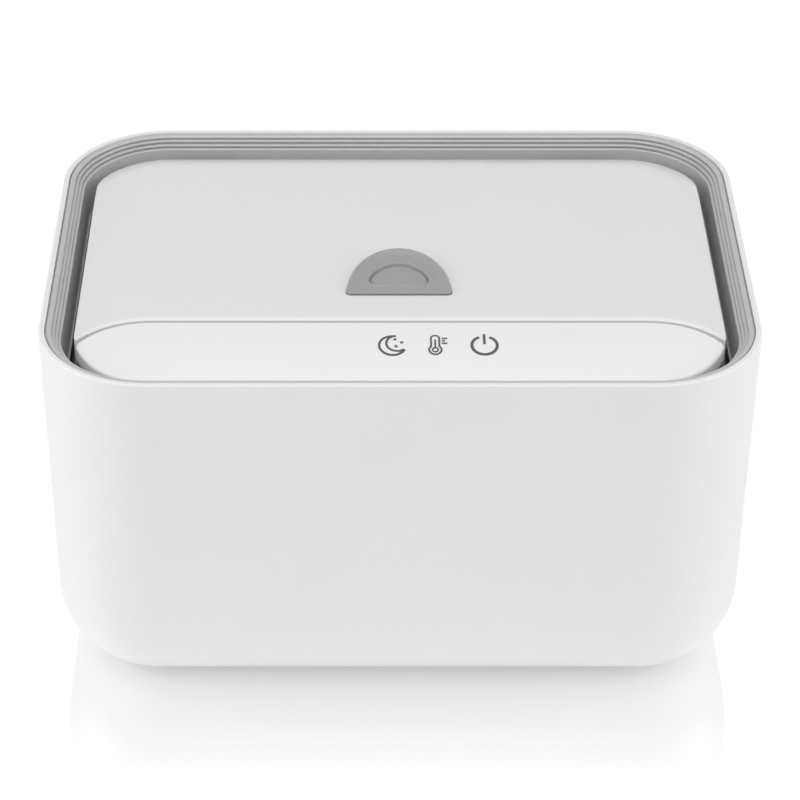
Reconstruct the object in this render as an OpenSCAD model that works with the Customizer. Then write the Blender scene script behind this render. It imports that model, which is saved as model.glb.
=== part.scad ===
/* [Housing] */
// Overall width across the rim
body_w = 240; // [200:1:280]
// Overall depth across the rim
body_d = 176; // [160:1:210]
// Overall height from the floor to the rim
body_h = 132; // [118:1:160]
// Plan radius of the vertical corners at the rim
corner_r = 37.5; // [32:0.5:44]
// Radius of the round between the walls and the bottom
bottom_r = 30; // [20:1:34]
// Draft of the outer walls in degrees
wall_draft = 1; // [0.5:0.25:1.5]
// Thickness of the housing wall
wall = 2.5; // [2:0.1:3.2]
// Width of the white rim that shows round the trim
rim_w = 2; // [1.6:0.1:2.3]
// Height of the rubber feet below the housing
foot_drop = 1.2; // [0.8:0.1:2]
// Radius of one rubber foot
foot_r = 7; // [5:0.5:8]

/* [Trim ring] */
// Drop of the first ledge below the rim
ledge_drop = 0.5; // [0.3:0.1:1]
// Width of the first ledge
ledge_w = 2.2; // [1.6:0.1:2.4]
// Number of stepped ribs
rib_count = 3; // [2:1:3]
// Inward pitch of the ribs
rib_in = 1; // [0.8:0.1:1.1]
// Downward pitch of the ribs
rib_down = 1.25; // [1:0.05:1.4]
// Depth of the moat floor below the rim
moat_depth = 16.5; // [15:0.5:18]

/* [Lid] */
// Gap from the outer outline at the rim to the edge of the lid
lid_inset = 12; // [11.5:0.1:13]
// Drop of the lid's top below the rim
lid_drop = 3; // [2.5:0.1:4]
// Height of the lid's side skirt
lid_skirt = 17; // [16:0.5:18]
// Wall of the lid cover
lid_wall = 2.2; // [1.8:0.1:2.4]
// Round along the lid's rear top edge
lid_rear_r = 4; // [2:0.5:5]
// Radius of the lid's front corners in plan
lid_corner_r = 29; // [24:0.5:32]

/* [Control panel] */
// Depth of the panel from its rear edge to its front edge
panel_d = 33; // [30:0.5:36]
// Gap between the lid and the panel
panel_gap = 1.2; // [1:0.1:1.6]
// Forward slope of the panel in degrees
panel_slope = 6; // [3:0.5:8]
// Thickness of the panel's face
panel_wall = 2; // [1.6:0.1:2.4]
// Place of the middle icon to the right of the middle
icon_x = 13.2; // [0:0.2:16]
// Spacing of the touch icons
icon_pitch = 15.9; // [14:0.1:18]

/* [Release button] */
// Half width of the half-moon button
button_r = 18; // [16:0.1:19]
// Depth of the button from its flat edge to the top of its arc
button_len = 28.8; // [27:0.2:30]
// Distance of the flat edge behind the lid's front edge
button_in = 15.4; // [14:0.2:17]
// Height of the button's arc above the lid
button_rise = 2.2; // [1.8:0.1:2.5]
// Height of the button's flat edge above the lid
button_low = 0.8; // [0.5:0.1:1.2]
// Half width of the dent
dent_r = 10.5; // [9:0.1:11.5]
// Depth of the dent from its flat edge to the top of its arc
dent_len = 14.6; // [12:0.2:16]
// Distance of the dent's flat edge behind the button's
dent_in = 5.8; // [5:0.2:7]
// Depth of the dent below the button's top
dent_depth = 1; // [0.6:0.1:1.2]
// Travel of the button
button_travel = 2.2; // [1.6:0.1:2.2]
// Slide of the latch for each millimetre of the button
latch_ratio = 1.25; // [1:0.05:1.3]
// Width of the latch tongue
tongue_w = 14; // [10:0.5:18]

/* [Hinge] */
// Height of the hinge axis below the lid's top
axis_drop = 5; // [4.8:0.1:5.4]
// Distance of the hinge axis ahead of the lid's rear edge
axis_in = 8.7; // [8.2:0.1:8.9]
// Radius of the hinge pin
pin_r = 1.5; // [1.2:0.1:1.7]
// Place of each hinge ear to the side
ear_x = 67; // [55:1:72]

/* [Wipes tank] */
// Space between the lid's side edge and the tank's mouth
tank_side = 8; // [7:0.5:18]
// Space between the panel's rear edge and the tank's mouth
tank_front = 6; // [5:0.5:12]
// Space between the hinge axis and the tank's mouth
tank_rear = 10.3; // [10.2:0.1:14]
// Corner radius of the tank
tank_r = 14; // [10:0.5:18]
// Wall of the tank
tank_wall = 1.6; // [1.2:0.1:2]
// Height of the tank's floor above the table
tank_floor = 30; // [28:1:45]

/* [Electrics] */
// Length of the main circuit board
board_l = 80; // [70:1:100]
// Width of the main circuit board
board_w = 50; // [40:1:60]
// Thickness of the circuit boards
board_t = 1.6; // [1.2:0.1:2]
// Radius of the centre pin in the power inlet
jack_pin_r = 1.05; // [0.9:0.05:1.25]
// Radius of the socket in the power inlet
jack_bore_r = 3.15; // [3:0.05:3.4]
// Place of the power inlet to the side
jack_x = 70; // [40:1:76]
// Height of the power inlet above the table
jack_z = 42; // [38:1:60]

/* [Hidden] */
$fn = 96;
eps = 0.02;
fit_gap = 0.2;
run_gap = 0.05;

// Straight spans between the corner centres
span_x = body_w / 2 - corner_r;
span_y = body_d / 2 - corner_r;
draft_k = tan(wall_draft);
floor_z = foot_drop;
floor_t = wall + 0.7;

// Levels, from the rim down
rim_z = body_h;
ledge_z = rim_z - ledge_drop;
ring_u = rim_w + 0.1;
rib_u = ring_u + ledge_w;
rib_end_u = rib_u + rib_count * rib_in;
moat_z = rim_z - moat_depth;
moat_wall_u = rib_end_u + 1;
ring_t = 2;
ring_leg = 1.7;
ring_inner_u = moat_wall_u + 1.1;
ring_bottom_z = moat_z - ring_t;
lid_z = rim_z - lid_drop;
skirt_z = lid_z - lid_skirt;
deck_z = skirt_z - 3;
deck_t = 2.2;
deck_bottom_z = deck_z - deck_t;
collar_z = deck_z + 1.5;
collar_t = 2;
stand_t = 1.6;
deck_u = wall + fit_gap + (rim_z - deck_z) * draft_k + 0.2;

// Island outline that the lid and the control panel share
isle_x = body_w / 2 - lid_inset;
isle_y = body_d / 2 - lid_inset;
isle_r = corner_r - lid_inset;
panel_rear = isle_y - panel_d;
lid_front = panel_rear - panel_gap;
panel_lip_z = rim_z - 9;

// Hinge
axis_y = isle_y - axis_in;
axis_z = lid_z - axis_drop;
knuckle_r = pin_r + 1.4;
hinge_pocket_z = axis_z + knuckle_r + 0.5;
ear_w = 5.6;
arm_w = 4;
side_gap = 0.4;
spring_room = 5.6;
arm_in_x = ear_x - ear_w / 2 - side_gap - arm_w / 2;
arm_out_x = ear_x + ear_w / 2 + spring_room + arm_w / 2;
pin_len = arm_out_x - arm_in_x + arm_w;
ear_back = 2.4;
ear_depth = 5.4;
notch_w = arm_out_x - arm_in_x + arm_w + 3;
notch_x = (arm_in_x + arm_out_x) / 2;

// Lid insides
plate_z = lid_z - lid_wall - 0.2;
liner_t = 2;
liner_z = skirt_z + liner_t;
liner_gap = lid_wall + fit_gap;
tank_w = 2 * (isle_x - tank_side);
tank_back_y = axis_y - tank_rear;
tank_front_y = panel_rear - tank_front;
tank_d = tank_back_y + tank_front_y;
tank_y = (tank_back_y - tank_front_y) / 2;
post_x = tank_w / 2 - 8;
post_in = 5;
lid_screw_points = [[-post_x, tank_back_y - post_in], [post_x, tank_back_y - post_in],
                    [-post_x, post_in - tank_front_y], [post_x, post_in - tank_front_y],
                    [0, tank_back_y + post_in + 1.6]];
screw_r = 1.3;
post_r = 3.4;

// Release button and latch
button_top = lid_z + button_rise;
button_front = lid_front - button_in;
button_gap = 0.35;
button_tilt = atan((button_rise - button_low) / button_len);
flange_w = 1.6;
flange_t = 1.4;
flange_z = plate_z - flange_t - 0.1;
slide_t = 3;
slide_z = liner_z + 0.3;
latch_travel = button_travel * latch_ratio;
tongue_reach = panel_gap - 0.5;
tongue_tip = lid_front + tongue_reach;
keeper_t = 0.8;
keeper_face = panel_rear + 0.4;
keeper_lip = lid_front + 0.25;
keeper_foot = 9;
keeper_peg_r = 1.3;
slide_len = 56.5;
slide_back = slide_len - tongue_tip;
ramp_z = slide_z + slide_t;
wedge_w = 4;
wedge_len = 3;
ramp_run = latch_travel + 0.6;
ramp_rise = ramp_run / latch_ratio;
ramp_in = 20.4;
ramp_y = ramp_in - button_front;
spring_coil_r = 2.2;
spring_wire_r = 0.3;
button_spring_x = 12.6;
button_spring_in = 10;
button_spring_y = button_spring_in - button_front;

// Tank
tank_top_z = deck_bottom_z - 0.8;
flange_tank_t = 1.5;
flange_reach = 4;
lug_x = tank_w / 2 - tank_r + 14;
lug_y = tank_d / 2 - tank_r + 14;
lug_z = tank_top_z - 7;
tank_out_z = tank_floor - tank_wall;
spreader_t = 1;
film_t = 0.6;
pad_t = 5;
heat_inset = 12;

// Deck screws and columns
column_x = span_x + 15.5;
column_y = span_y + 15.5;
column_r = 4.5;
head_r = 2.9;
head_t = 1.8;

// Base
cover_x = span_x + 3.2;
cover_y = span_y + 3.2;
cover_r = 6;
lip_w = 4;
base_screw_x = cover_x - cover_r;
base_screw_y = cover_y - cover_r;
cover_t = 1.8;
boss_h = 9;
foot_x = cover_x - 22;
foot_y = cover_y - 12;
foot_seat = 0.8;

// Electrics
board_x = 34;
board_y = 14;
board_z = floor_z + 9;
board_hole = 4;
jack_r = 5.8;
jack_len = 13;
touch_l = 2 * icon_pitch + 26;
touch_w = 18;
touch_gap = 2.2;
icon_back = 4.4;
lead_hole_x = icon_x + 36;
lead_hole_y = -(panel_rear + isle_y) / 2;

// Helix points: r = coil radius, len = height, turns = number of turns
function helix(r, len, turns, steps = 12) =
    [for (i = [0:turns * steps]) [r * cos(360 * i / steps), r * sin(360 * i / steps),
                                  len * i / (turns * steps)]];

function unit(v) = v / norm(v);
function heading(p, i) = unit(p[min(i + 1, len(p) - 1)] - p[max(i - 1, 0)]);
function side_of(t) = unit(abs(t.z) > 0.9 ? cross(t, [1, 0, 0]) : cross(t, [0, 0, 1]));

// Round tube along a list of points
module tube(points, r, sides = 8) {
    n = len(points);
    rings = [for (i = [0:n - 1])
                let (t = heading(points, i), a = side_of(t), b = cross(t, a))
                for (k = [0:sides - 1])
                    points[i] + r * (cos(360 * k / sides) * a + sin(360 * k / sides) * b)];
    walls = [for (i = [0:n - 2]) for (k = [0:sides - 1])
                let (k2 = (k + 1) % sides)
                for (tri = [[i * sides + k, i * sides + k2, (i + 1) * sides + k2],
                            [i * sides + k, (i + 1) * sides + k2, (i + 1) * sides + k]]) tri];
    first = [for (k = [1:sides - 2]) [0, k + 1, k]];
    last = [for (k = [1:sides - 2]) [(n - 1) * sides, (n - 1) * sides + k, (n - 1) * sides + k + 1]];
    polyhedron(points = rings, faces = concat(walls, first, last));
}

// Rounded rectangle in plan, by half sizes
module plan_rect(hx, hy, r) {
    square([2 * (hx - r), 2 * hy], center = true);
    square([2 * hx, 2 * (hy - r)], center = true);
    for (sx = [-1, 1], sy = [-1, 1])
        translate([sx * (hx - r), sy * (hy - r)])
            circle(r);
}

module rounded_block(hx, hy, r, z0, z1) {
    translate([0, 0, z0])
        linear_extrude(z1 - z0)
            plan_rect(hx, hy, r);
}

// Sweeps a wall profile round the plan: profile x is the distance out of the corner centre
module sweep_round(sx = span_x, sy = span_y) {
    for (q = [[1, 1, 0], [-1, 1, 90], [-1, -1, 180], [1, -1, 270]])
        translate([q[0] * sx, q[1] * sy, 0])
            rotate([0, 0, q[2]])
                rotate_extrude(angle = 90)
                    children();
    for (a = [0, 180])
        rotate([0, 0, a])
            translate([sx, sy, 0])
                rotate([90, 0, 0])
                    linear_extrude(2 * sy)
                        children();
    for (a = [90, 270])
        rotate([0, 0, a])
            translate([sy, sx, 0])
                rotate([90, 0, 0])
                    linear_extrude(2 * sx)
                        children();
}

// Side of the housing in section, moved inwards by t and with its floor raised by t2
module housing_profile(t, t2) {
    r = bottom_r - t;
    x_at_round = corner_r - t / cos(wall_draft) - (rim_z - floor_z - bottom_r) * draft_k;
    xc = x_at_round - r / cos(wall_draft);
    zc = floor_z + bottom_r + t2 - t;
    intersection() {
        union() {
            translate([xc, zc])
                circle(r);
            polygon([[0, zc - r], [xc, zc - r], [xc + r * cos(wall_draft), zc - r * sin(wall_draft)],
                     [corner_r - t / cos(wall_draft), rim_z], [0, rim_z]]);
        }
        translate([0, 0])
            square([corner_r + 1, rim_z]);
    }
}

module housing_solid(t, t2) {
    sweep_round()
        housing_profile(t, t2);
    translate([-span_x, -span_y, floor_z + t2])
        cube([2 * span_x, 2 * span_y, rim_z - floor_z - t2]);
}

module at_corners(x, y) {
    for (sx = [-1, 1], sy = [-1, 1])
        translate([sx * x, sy * y, 0])
            children();
}

module outer_shell() {
    color("whitesmoke")
        difference() {
            housing_solid(0, 0);
            difference() {
                housing_solid(wall, floor_t);
                at_corners(column_x, column_y)
                    cylinder(r = column_r, h = deck_bottom_z - 1.8);
                at_corners(base_screw_x, base_screw_y)
                    cylinder(r = post_r, h = floor_z + floor_t + boss_h);
            }
            rim_rebate();
            at_corners(column_x, column_y)
                translate([0, 0, deck_bottom_z - 22])
                    cylinder(r = screw_r, h = 30);
            at_corners(base_screw_x, base_screw_y)
                translate([0, 0, -1])
                    cylinder(r = screw_r, h = floor_t + boss_h);
            rounded_block(cover_x - lip_w, cover_y - lip_w, 14, -1, floor_z + floor_t + 1);
            rounded_block(cover_x + fit_gap, cover_y + fit_gap, cover_r + fit_gap, -1, floor_z + cover_t);
            inlet_axis()
                inlet_cut();
        }
}

module rim_rebate() {
    sweep_round()
        translate([0, ring_bottom_z - 0.2])
            square([corner_r - rim_w, rim_z]);
}

module inlet_axis() {
    translate([jack_x, body_d / 2, jack_z])
        rotate([-90, 0, 0])
            children();
}

// Flat seat in the sloping rear wall, the hole for the inlet and the flat for its nut
module inlet_cut() {
    seat = (rim_z - jack_z) * draft_k + 1;
    translate([0, 0, -seat])
        cylinder(r = jack_r + 3.5, h = seat + 2);
    translate([0, 0, -20])
        cylinder(r = jack_r - 1.2, h = 20);
}

module base_cover() {
    color("gainsboro")
        difference() {
            union() {
                rounded_block(cover_x, cover_y, cover_r, floor_z, floor_z + cover_t);
                board_points()
                    cylinder(r = post_r, h = board_z - floor_z);
            }
            at_corners(base_screw_x, base_screw_y) {
                translate([0, 0, floor_z - 1])
                    cylinder(r = screw_r + 0.3, h = 10);
                translate([0, 0, floor_z - 1])
                    cylinder(r = head_r + 0.2, h = 1 + 0.9);
            }
            at_corners(foot_x, foot_y)
                translate([0, 0, floor_z - 1])
                    cylinder(r = foot_r + fit_gap, h = 1 + foot_seat);
            board_points()
                translate([0, 0, floor_z + 3])
                    cylinder(r = screw_r, h = 20);
            for (i = [-3:3])
                translate([i * 9 - 40, 0, floor_z - 1])
                    rounded_block(1.5, 14, 1.4, 0, cover_t + 2);
        }
}

module rubber_feet() {
    color("dimgray")
        at_corners(foot_x, foot_y)
            cylinder(r = foot_r, h = floor_z + foot_seat);
}

// Pan-head screw that points up from the origin, its head below
module screw(len, r = screw_r, hr = head_r, ht = head_t) {
    translate([0, 0, -ht])
        cylinder(r = hr, h = ht);
    cylinder(r = r, h = len);
}

module base_screws() {
    color("silver")
        at_corners(base_screw_x, base_screw_y)
            translate([0, 0, floor_z + 0.9])
                screw(8, ht = 0.9);
}

module deck_frame() {
    color("darkgray") {
        keeper_peg_place()
            translate([0, 0, deck_z - 0.5])
                cylinder(r = keeper_peg_r, h = keeper_t + 1.3);
        difference() {
            union() {
                deck_plate();
                collar();
                ring_stand();
                panel_stand();
                for (s = [-1, 1])
                    hinge_ear(s);
                tank_bosses();
                at_corners(column_x, column_y)
                    translate([0, 0, deck_bottom_z - 1.8])
                        cylinder(r = column_r, h = 3);
            }
            translate([0, tank_y, 0])
                rounded_block(tank_w / 2, tank_d / 2, tank_r, deck_bottom_z - 5, collar_z + 5);
            at_corners(column_x, column_y) {
                translate([0, 0, deck_bottom_z - 5])
                    cylinder(r = screw_r + 0.3, h = 20);
                translate([0, 0, deck_z - head_t])
                    cylinder(r = head_r + 0.3, h = 10);
            }
            lug_points()
                translate([0, 0, lug_z - 1])
                    cylinder(r = screw_r, h = 7.5);
            for (s = [-1, 1])
                translate([s * ear_x - ear_w, axis_y, axis_z])
                    rotate([0, 90, 0])
                        cylinder(r = pin_r + run_gap, h = 2 * ear_w);
            keeper_slit();
            panel_screw_points()
                translate([0, 0, deck_bottom_z - 1])
                    cylinder(r = screw_r + 0.3, h = 20);
            translate([lead_hole_x, lead_hole_y, deck_bottom_z - 1])
                cylinder(r = 3, h = 20);
        }
    }
}

module deck_plate() {
    sweep_round()
        translate([0, deck_bottom_z])
            square([corner_r - deck_u, deck_t]);
    translate([-span_x, -span_y, deck_bottom_z])
        cube([2 * span_x, 2 * span_y, deck_t]);
}

module collar() {
    translate([0, tank_y, 0])
        rounded_block(tank_w / 2 + collar_t, tank_d / 2 + collar_t, tank_r + collar_t, deck_z - 1, collar_z);
}

// Upstands that carry the two legs of the trim ring
module ring_stand() {
    sweep_round()
        for (u = [deck_u + stand_t, moat_wall_u + 0.4])
            translate([corner_r - u, deck_z - 1])
                square([stand_t, ring_bottom_z - deck_z + 1]);
}

// Wall under the panel, set in from its skirt
module panel_stand() {
    difference() {
        translate([0, 0, deck_z - 1])
            linear_extrude(panel_lip_z - deck_z + 1)
                panel_plan(panel_wall + 0.3);
        translate([0, 0, deck_z])
            linear_extrude(panel_lip_z)
                panel_plan(panel_wall + 0.3 + stand_t);
    }
}

module hinge_ear(s) {
    translate([s * ear_x - ear_w / 2, axis_y, 0])
        rotate([90, 0, 90])
            linear_extrude(ear_w) {
                translate([0, axis_z])
                    circle(knuckle_r);
                translate([-ear_back - ear_depth, deck_z - 1])
                    square([ear_depth, axis_z - deck_z + 1]);
            }
}

module lug_points() {
    translate([0, tank_y, 0])
        at_corners(lug_x, lug_y)
            children();
}

module tank_bosses() {
    lug_points()
        translate([0, 0, lug_z])
            cylinder(r = post_r, h = deck_bottom_z - lug_z + 0.5);
}

module deck_screws() {
    color("silver")
        at_corners(column_x, column_y)
            translate([0, 0, deck_z - head_t])
                mirror([0, 0, 1])
                    screw(16);
}

module trim_ring() {
    color("silver")
        sweep_round()
            difference() {
                trim_profile();
                trim_hollow();
            }
}

// Ledge, stepped ribs, moat wall and moat ledge, in section
module trim_profile() {
    polygon(concat(
        [[corner_r - ring_u, ring_bottom_z], [corner_r - ring_u, ledge_z]],
        [for (i = [0:rib_count]) for (p = [0, 1])
            [corner_r - rib_u - i * rib_in, ledge_z - (i + p) * rib_down]],
        [[corner_r - moat_wall_u, moat_z], [corner_r - ring_inner_u, moat_z],
         [corner_r - ring_inner_u, ring_bottom_z]]));
}

// Hollow that keeps the ring a thin-walled moulding, open below
module trim_hollow() {
    outer_x = corner_r - ring_u - ring_leg;
    inner_x = corner_r - moat_wall_u + ring_leg;
    polygon([[outer_x, ring_bottom_z - 1], [outer_x, ledge_z - 3 * ring_leg],
             [outer_x - 1, ledge_z - 3 * ring_leg], [inner_x, moat_z],
             [inner_x, ring_bottom_z - 1]]);
}

// Island outline, moved inwards by t
module isle_plan(t = 0) {
    plan_rect(isle_x - t, isle_y - t, isle_r - t);
}

// Everything ahead of the gap line, grown by g
module front_zone(g = 0) {
    y = panel_rear - g;
    r = lid_corner_r + g;
    translate([-span_x, -y - r - 60])
        square([2 * span_x, r + 60]);
    for (s = [-1, 1])
        translate([s * span_x, -y - r])
            circle(r);
    translate([-body_w, -y - r - 100])
        square([2 * body_w, 100]);
}

module panel_plan(t = 0) {
    intersection() {
        isle_plan(t);
        front_zone(-t);
    }
}

module lid_plan(t = 0) {
    difference() {
        isle_plan(t);
        front_zone(panel_gap + t);
    }
}

// Half space below the panel's sloping face, dropped by t
module below_panel_face(t = 0) {
    translate([0, -panel_rear, lid_z - t])
        rotate([panel_slope, 0, 0])
            translate([-body_w, -200, -100])
                cube([2 * body_w, 260, 100]);
}

module control_panel() {
    color("white")
        difference() {
            union() {
                panel_cap();
                intersection() {
                    union() {
                        panel_screw_points()
                            translate([0, 0, deck_z])
                                cylinder(r = post_r, h = lid_z - deck_z);
                        touch_posts();
                    }
                    below_panel_face(panel_wall / 2);
                }
            }
            panel_screw_points()
                translate([0, 0, deck_z - 1])
                    cylinder(r = screw_r, h = panel_lip_z - deck_z);
        }
}

// Thin-walled cap with a sloping face
module panel_cap() {
    difference() {
        intersection() {
            translate([0, 0, panel_lip_z])
                linear_extrude(rim_z - panel_lip_z)
                    panel_plan();
            below_panel_face();
        }
        intersection() {
            translate([0, 0, panel_lip_z - 1])
                linear_extrude(rim_z - panel_lip_z)
                    panel_plan(panel_wall);
            below_panel_face(panel_wall);
        }
    }
}

// Pegs on the face's underside that the touch board is seated on
module touch_posts() {
    touch_frame()
        for (s = [-1, 1])
            translate([s * (touch_l / 2 - 3), 0, board_t])
                cylinder(r = 2, h = touch_gap + 1);
}

module panel_screw_points() {
    for (s = [-1, 1])
        translate([s * (span_x - 4), -(panel_rear + 14), 0])
            children();
}

module panel_screws() {
    color("silver")
        panel_screw_points()
            translate([0, 0, deck_bottom_z])
                screw(8);
}

module touch_board() {
    color("darkgreen")
        touch_frame()
            translate([-touch_l / 2, -touch_w / 2, 0])
                cube([touch_l, touch_w, board_t]);
}

// Frame of the touch board, parallel to the panel's face
module touch_frame() {
    translate([icon_x, -panel_rear, lid_z])
        rotate([panel_slope, 0, 0])
            translate([0, -(isle_y - panel_rear) / 2, -panel_wall - touch_gap - board_t])
                children();
}

module touch_points() {
    for (i = [-1:1])
        translate([i * icon_pitch, icon_back, board_t])
            children();
}

module touch_electrodes() {
    color("gold")
        touch_frame()
            touch_points()
                difference() {
                    cylinder(r = 4.6, h = touch_gap);
                    translate([0, 0, -1])
                        cylinder(r = 3.6, h = 10);
                }
}

module indicator_leds() {
    color("ivory")
        touch_frame()
            touch_points()
                translate([-0.8, -1.4, 0])
                    cube([1.6, 2.8, 1.1]);
}

// Slit in the panel's stand that the foot of the keeper passes through
module keeper_slit() {
    translate([-tongue_w / 2 - fit_gap, -keeper_face - keeper_foot, deck_z])
        cube([tongue_w + 2 * fit_gap, keeper_foot, keeper_t + fit_gap]);
}

module keeper_peg_place() {
    translate([0, -keeper_face - keeper_foot + 2.6, 0])
        children();
}

// Spring leaf whose lip holds the tongue down
module latch_keeper() {
    lip_z = slide_z + slide_t + fit_gap;
    color("silver")
        difference() {
            union() {
                translate([-tongue_w / 2, -keeper_face - keeper_foot, deck_z])
                    cube([tongue_w, keeper_foot, keeper_t]);
                translate([-tongue_w / 2, -keeper_face - keeper_t, deck_z])
                    cube([tongue_w, keeper_t, lip_z + keeper_t - deck_z]);
                translate([-tongue_w / 2, -keeper_face - keeper_t, lip_z])
                    cube([tongue_w, keeper_face + keeper_t - keeper_lip, keeper_t]);
            }
            keeper_peg_place()
                translate([0, 0, deck_z - 1])
                    cylinder(r = keeper_peg_r + run_gap, h = 4);
        }
}

module tank() {
    color("white")
        translate([0, tank_y, 0])
            difference() {
                union() {
                    rounded_block(tank_w / 2 + tank_wall, tank_d / 2 + tank_wall, tank_r + tank_wall,
                                  tank_out_z, tank_top_z);
                    rounded_block(tank_w / 2 + flange_reach, tank_d / 2 + flange_reach,
                                  tank_r + flange_reach, tank_top_z - flange_tank_t, tank_top_z);
                    at_corners(lug_x, lug_y)
                        translate([0, 0, lug_z - 1.8])
                            cylinder(r = post_r + 0.8, h = 1.8);
                    at_corners(lug_x - 4, lug_y - 4)
                        translate([0, 0, lug_z - 1.8])
                            cylinder(r = post_r + 0.8, h = 1.8);
                }
                rounded_block(tank_w / 2, tank_d / 2, tank_r, tank_floor, tank_top_z + 1);
                at_corners(lug_x, lug_y) {
                    translate([0, 0, lug_z - 5])
                        cylinder(r = screw_r + 0.3, h = 10);
                    translate([0, 0, lug_z])
                        cylinder(r = post_r + 0.2, h = 20);
                }
            }
}

module tank_gasket() {
    color("lightgray")
        translate([0, tank_y, 0])
            difference() {
                rounded_block(tank_w / 2 + 2.4, tank_d / 2 + 2.4, tank_r + 2.4, tank_top_z, deck_bottom_z);
                rounded_block(tank_w / 2 + 0.4, tank_d / 2 + 0.4, tank_r + 0.4, tank_top_z - 1, deck_bottom_z + 1);
            }
}

module tank_screws() {
    color("silver")
        lug_points()
            translate([0, 0, lug_z - 1.8])
                screw(7);
}

module heat_spreader() {
    color("lightsteelblue")
        translate([0, tank_y, 0])
            rounded_block(tank_w / 2 - heat_inset / 2, tank_d / 2 - heat_inset / 2, tank_r / 2,
                          tank_out_z - spreader_t, tank_out_z);
}

module heater_film() {
    color("darkorange")
        translate([0, tank_y, 0])
            rounded_block(tank_w / 2 - heat_inset, tank_d / 2 - heat_inset, tank_r / 2,
                          tank_out_z - spreader_t - film_t, tank_out_z - spreader_t);
}

film_z = tank_out_z - spreader_t - film_t;

// Pockets in the pad for the fuse and the sensor
module insulation_pad() {
    color("dimgray")
        difference() {
            translate([0, tank_y, 0])
                rounded_block(tank_w / 2 - heat_inset, tank_d / 2 - heat_inset, tank_r / 2,
                              film_z - pad_t, film_z);
            fuse_place()
                translate([-12, -4, -20])
                    cube([24, 8, 30]);
            sensor_place()
                translate([-6, -4, -20])
                    cube([12, 8, 30]);
        }
}

module fuse_place() {
    translate([-30, tank_y, film_z - 2.4])
        children();
}

module sensor_place() {
    translate([30, tank_y, film_z - 1.9])
        children();
}

module thermal_fuse() {
    color("tan")
        fuse_place()
            rotate([0, 90, 0]) {
                translate([0, 0, -5.5])
                    cylinder(r = 2.1, h = 11);
                translate([0, 0, -8])
                    cylinder(r = 0.5, h = 16);
            }
}

module temperature_sensor() {
    color("black")
        sensor_place()
            rotate([0, 90, 0]) {
                translate([0, 0, -2.5])
                    cylinder(r = 1.6, h = 5);
                translate([0, 0, -5])
                    cylinder(r = 0.5, h = 10);
            }
}

module board_points() {
    translate([board_x, board_y, floor_z])
        for (sx = [-1, 1], sy = [-1, 1])
            translate([sx * (board_l / 2 - board_hole), sy * (board_w / 2 - board_hole), 0])
                children();
}

module main_board() {
    color("darkgreen")
        difference() {
            translate([board_x - board_l / 2, board_y - board_w / 2, board_z])
                cube([board_l, board_w, board_t]);
            board_points()
                cylinder(r = screw_r + 0.3, h = 30);
        }
}

// Relay, regulator, capacitors and the two plug sockets
module board_parts() {
    color("black")
        translate([board_x, board_y, board_z + board_t]) {
            translate([-24, -8, 0])
                cube([15, 19, 7.5]);
            translate([0, 8, 0])
                cylinder(r = 4, h = 8);
            translate([10, 8, 0])
                cylinder(r = 4, h = 8);
            translate([-2, -14, 0])
                cube([12, 8, 2]);
            translate([22, -10, 0])
                cube([8, 14, 6]);
            translate([22, 8, 0])
                cube([8, 8, 6]);
        }
}

module board_screws() {
    color("silver")
        board_points()
            translate([0, 0, board_z + board_t - floor_z])
                mirror([0, 0, 1])
                    screw(6);
}

jack_seat_y = -(rim_z - jack_z) * draft_k - 1;

module power_inlet() {
    color("black")
        inlet_axis()
            translate([0, 0, jack_seat_y]) {
                difference() {
                    union() {
                        cylinder(r = jack_r, h = 1);
                        translate([0, 0, -jack_len])
                            cylinder(r = jack_r - 1.4, h = jack_len + 0.5);
                    }
                    translate([0, 0, -9.5])
                        cylinder(r = jack_bore_r, h = 20);
                }
                translate([0, 0, -10])
                    cylinder(r = jack_pin_r, h = 9.6);
            }
}

module inlet_nut() {
    color("silver")
        inlet_axis()
            translate([0, 0, jack_seat_y - 4.4])
                difference() {
                    cylinder(r = jack_r + 1.2, h = 2.4, $fn = 6);
                    translate([0, 0, -1])
                        cylinder(r = jack_r - 1.4 + 0.05, h = 10);
                }
}

lead_z = film_z - pad_t - 1.4;
plug_z = board_z + board_t + 7.3;
plug_x = board_x + 26;
heater_route = [[plug_x - 1.5, board_y + 10.5, plug_z], [plug_x - 2, board_y + 18, lead_z],
                [0, tank_y + 28, lead_z], [-34, tank_y + 14, lead_z], [-39.6, tank_y + 2, lead_z],
                [-39.8, tank_y, film_z - 3]];
panel_route = [[plug_x, board_y - 3, plug_z + 0.5], [64, -10, lead_z], [68, -34, lead_z],
               [72, -54, 44], [66, -62, 80], [lead_hole_x, lead_hole_y, deck_bottom_z - 8],
               [lead_hole_x, lead_hole_y, deck_z + 3], [lead_hole_x - 8, lead_hole_y, deck_z + 6]];
inlet_route = [[jack_x, body_d / 2 - 16.3, jack_z], [jack_x, body_d / 2 - 22, jack_z - 4],
               [jack_x + 1, body_d / 2 - 24, lead_z + 1], [jack_x + 2, body_d / 2 - 36, lead_z - 1],
               [plug_x + 8, board_y + 18, lead_z - 1], [plug_x + 2.2, board_y + 14.5, plug_z]];

module heater_leads() {
    color("crimson")
        tube(heater_route, 0.9);
}

module panel_leads() {
    color("dimgray")
        tube(panel_route, 1.3);
}

module inlet_leads() {
    color("black")
        tube(inlet_route, 1);
}

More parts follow.
